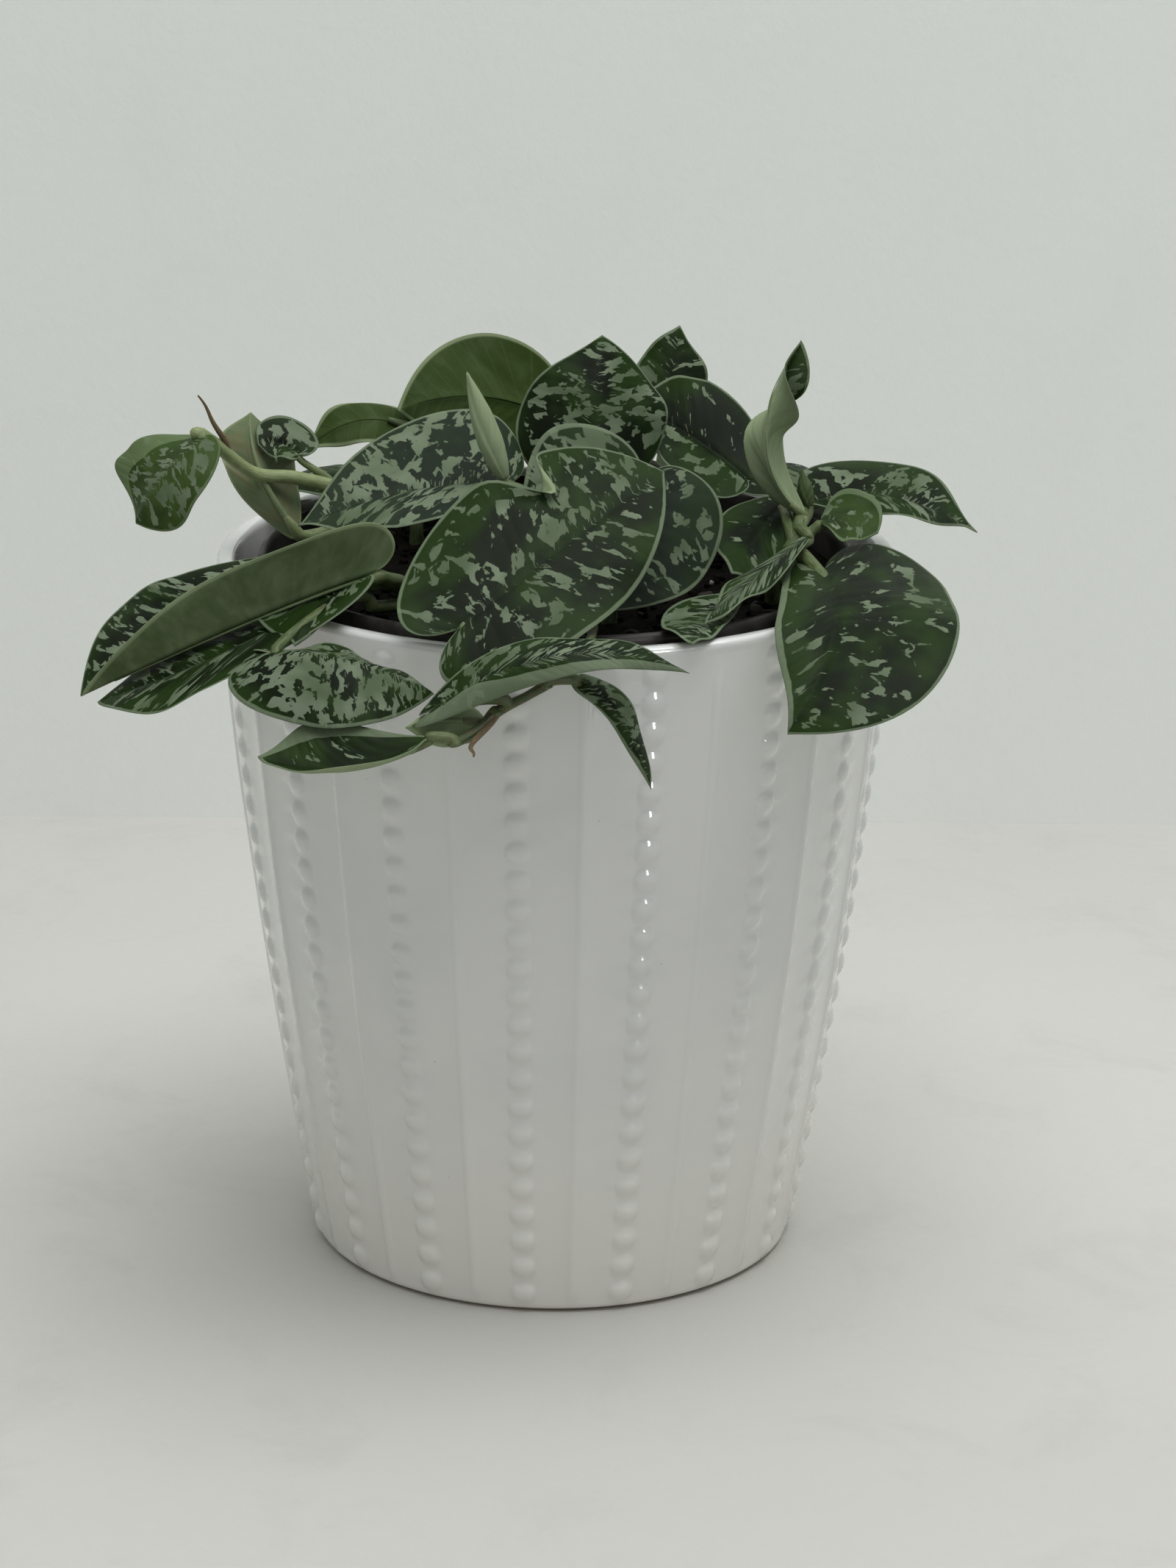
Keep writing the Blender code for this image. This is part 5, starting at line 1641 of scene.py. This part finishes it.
@dataclass
class Plant:
    """All the vines, each with its stem, petioles, leaves and dry parts."""

    upright: float = 4.0
    sink: float = 19.0
    stem_sides: int = 20
    petiole_sides: int = 14
    petiole_steps: int = 16
    bract_sides: int = 10
    stem_steps: int = 12
    joint_steps: int = 2
    stem_taper: tuple[float, float] = (1.02, 0.88)
    stem_end: tuple[float, float] = (0.9, 0.7)
    swelling: float = 0.16
    swelling_half: float = 0.035
    petiole_taper: tuple[float, float] = (1.28, 0.95)
    petiole_foot: float = 1.15
    petiole_end: tuple[float, float] = (0.8, 0.5)
    dry_tint: Place = (0.3, 1, 0)
    dry_seed: float = 5.0
    finishes: tuple[Finish, ...] = (LeafTop(), LeafUnderside(), Stalk(), DryTissue())

    def add_stem(self, vine: Vine, mould: Mould, seed: float) -> Array:
        """Adds the stem with a slight swelling at each joint.

        Args:
            vine: Whose stem it is.
            mould: What it is added to.
            seed: Where in the pattern it starts.

        Returns:
            The stem's points above the soil, as the joints measure them.
        """
        root = np.array(vine.stem[0], float)
        knots = (root, root + (0, 0, self.upright), *vine.stem[1:])
        path = smooth_path(knots, self.stem_steps)
        share = np.linspace(0, 1, len(path))
        radii = vine.radius * np.linspace(*self.stem_taper, len(path))
        for leaf in vine.leaves:
            radii = radii * (1 + self.swelling * np.exp(-(((share - leaf.joint) / self.swelling_half) ** 2)))
        radii[-2:] *= self.stem_end
        path = np.vstack([root - (0, 0, self.sink), root - (0, 0, 0.5 * self.sink), path])
        radii = np.concatenate([[0.8 * vine.radius, 0.95 * vine.radius], radii])
        mould.add_tube(path, radii, self.stem_sides, Skin.STALK, vine.tint, seed)
        return smooth_path(knots, self.joint_steps)

    def add_leaf(self, vine: Vine, leaf: Leaf | Bud, stem: Array, mould: Mould, seed: float) -> None:
        """Adds one leaf and its petiole.

        Args:
            vine: Where it grows.
            leaf: The leaf.
            stem: The stem's points.
            mould: What it is added to.
            seed: Where in the pattern it starts.
        """
        start = np.array([np.interp(leaf.joint, np.linspace(0, 1, len(stem)), c) for c in stem.T])
        blade = Blade(leaf) if isinstance(leaf, Leaf) else RolledBlade(leaf)
        line = petiole_path(blade, start, self.petiole_steps)
        widths = leaf.petiole * np.linspace(*self.petiole_taper, len(line))
        widths[0] *= self.petiole_foot
        widths[-2:] = np.array(self.petiole_end) * leaf.petiole
        look = leaf.look
        tint = (0.05 + 0.35 * vine.tint[0] + 0.35 * look.pale, vine.tint[1] * 0.5, look.fresh_or_sheen)
        mould.add_tube(line, widths, self.petiole_sides, Skin.STALK, tint, seed)
        blade.add_to(mould, seed)

    def add_bract(self, bract: tuple, mould: Mould) -> None:
        """Adds a thin dry tendril.

        Args:
            bract: The three places that it runs through.
            mould: What it is added to.
        """
        path = smooth_path(bract, 10)
        share = np.linspace(0, 1, len(path))
        bends = 0.5 * np.sin(9 * share)[:, None] * np.array((0.6, 0.2, 0.1))
        widths = np.interp(share, (0, 0.3, 1), (0.8, 0.7, 0.22))
        mould.add_tube(path + bends, widths, self.bract_sides, Skin.DRY, self.dry_tint, self.dry_seed)

    def build(self) -> None:
        """Builds every vine as one piece."""
        for number, vine in enumerate(VINES + REAR_VINES):
            mould = Mould(vine.name + "_leafy")
            stem = self.add_stem(vine, mould, 3.1 * number)
            for order, leaf in enumerate(vine.leaves):
                self.add_leaf(vine, leaf, stem, mould, 11.7 * number + 2.3 * order)
            for bract in vine.bracts:
                self.add_bract(bract, mould)
            dress(mould.build(), vine.name, Slot.LEAVES, *self.finishes)


@dataclass
class Room:
    """The pale floor and the wall behind."""

    wall_y: float = 0.301
    half: float = 3.0
    wall_height: float = 2.6
    sunk: float = 0.0002
    squares: int = 12
    floor_finish: Plain = Plain("pale floor", (0.61, 0.605, 0.575), (0.575, 0.57, 0.54), 0.55, 0.24)
    wall_finish: Plain = Plain("pale wall", (0.84, 0.87, 0.84), (0.82, 0.85, 0.82), 0.75, 0.03, True)

    def panel(self, name: str, corners: tuple, finish: Plain) -> Object:
        """One flat panel, cut into squares so that it carries fine shading.

        Args:
            name: Its name.
            corners: Its near left corner and the ends of its two sides from there.
            finish: Its finish.

        Returns:
            The panel.
        """
        start, side, end = (np.array(corner, float) for corner in corners)
        share = np.linspace(0, 1, self.squares + 1)
        mould = Mould(name)
        points = start + share[:, None] * (side - start) + share[:, None, None] * (end - start)
        mould.add_grid(points, wrap=False)
        obj = mould.build(scale=1.0)
        obj.data.materials.append(finish.material())
        return obj

    def build(self) -> None:
        """Builds the floor and the wall."""
        half, y, z = self.half, self.wall_y, -self.sunk
        corner, right, front = (-half, y, z), (half, y, z), (-half, -2 * half, z)
        above = (-half, y, self.wall_height)
        floor = self.panel("floor", (corner, front, right), self.floor_finish)
        wall = self.panel("backdrop", (corner, right, above), self.wall_finish)


@dataclass(frozen=True)
class Lamp:
    """An area light: its place, target, sides and watts, and whether only reflections show it."""

    name: str
    place: Place
    target: Place
    size: tuple[float, float]
    power: float
    glints_only: bool = False

    def build(self) -> None:
        """Hangs the lamp, facing its target."""
        data = bpy.data.lights.new(self.name, "AREA")
        data.shape = "RECTANGLE"
        data.size, data.size_y = self.size
        data.energy = self.power
        obj = bpy.data.objects.new(self.name, data)
        obj.location = self.place
        obj.rotation_euler = (Vector(self.target) - Vector(self.place)).to_track_quat("-Z", "Y").to_euler()
        obj.visible_diffuse = not self.glints_only
        bpy.context.scene.collection.objects.link(obj)


@dataclass
class Lights:
    """Soft light from the sky and from above, and a small window for the glints on the glaze."""

    sky: float = 0.42
    sky_colour: Place = (0.98, 1.0, 0.985)
    overhead: Lamp = Lamp("overhead", (0.20, -0.24, 1.5), (0, 0, 0.1), (1.4, 1.0), 17.0)
    window: Lamp = Lamp("window", (0.64, -0.95, 0.51), (0, 0, 0.12), (0.16, 0.38), 4.9, True)

    def build(self) -> None:
        """Makes the sky and hangs both lamps."""
        world = bpy.data.worlds.new("soft sky")
        world.use_nodes = True
        background = world.node_tree.nodes["Background"]
        background.inputs["Color"].default_value = (*self.sky_colour, 1)
        background.inputs["Strength"].default_value = self.sky
        bpy.context.scene.world = world
        self.overhead.build()
        self.window.build()


@dataclass
class PhotoCamera:
    """The camera that took the photo, as fitted to the pot, in metres and degrees."""

    place: Place = (0.0, -1.169, 0.501)
    pitch: float = 18.42
    yaw: float = 0.38
    roll: float = 0.56
    focal_pixels: float = 7019.0
    long_side: float = 2133.0
    sensor: float = 36.0
    reach: tuple[float, float] = (0.05, 20)

    def build(self) -> None:
        """Makes the camera the scene's own."""
        pitch, yaw, roll = (math.radians(a) for a in (self.pitch, self.yaw, self.roll))
        level = math.cos(pitch)
        forward = Vector((math.sin(yaw) * level, math.cos(yaw) * level, -math.sin(pitch)))
        right = Vector((math.cos(yaw), -math.sin(yaw), 0))
        up = right.cross(forward)
        turned_right = right * math.cos(roll) + up * math.sin(roll)
        turned_up = up * math.cos(roll) - right * math.sin(roll)
        data = bpy.data.cameras.new("photo camera")
        data.sensor_fit = "AUTO"
        data.sensor_width = self.sensor
        data.lens = self.focal_pixels * self.sensor / self.long_side
        data.clip_start, data.clip_end = self.reach
        obj = bpy.data.objects.new("photo camera", data)
        axes = Matrix((turned_right, turned_up, -forward)).transposed()
        obj.matrix_world = Matrix.Translation(self.place) @ axes.to_4x4()
        bpy.context.scene.collection.objects.link(obj)
        bpy.context.scene.camera = obj


def main() -> None:
    """Builds the pots, the soil, the plant and the room."""
    logging.basicConfig(level=logging.INFO, format="%(message)s")
    bpy.context.scene.view_settings.view_transform = "Standard"
    for assembly in (CoverPot(), GrowingPot(), Soil(), Plant(), Room(), Lights(), PhotoCamera()):
        assembly.build()


if __name__ == "__main__":
    main()
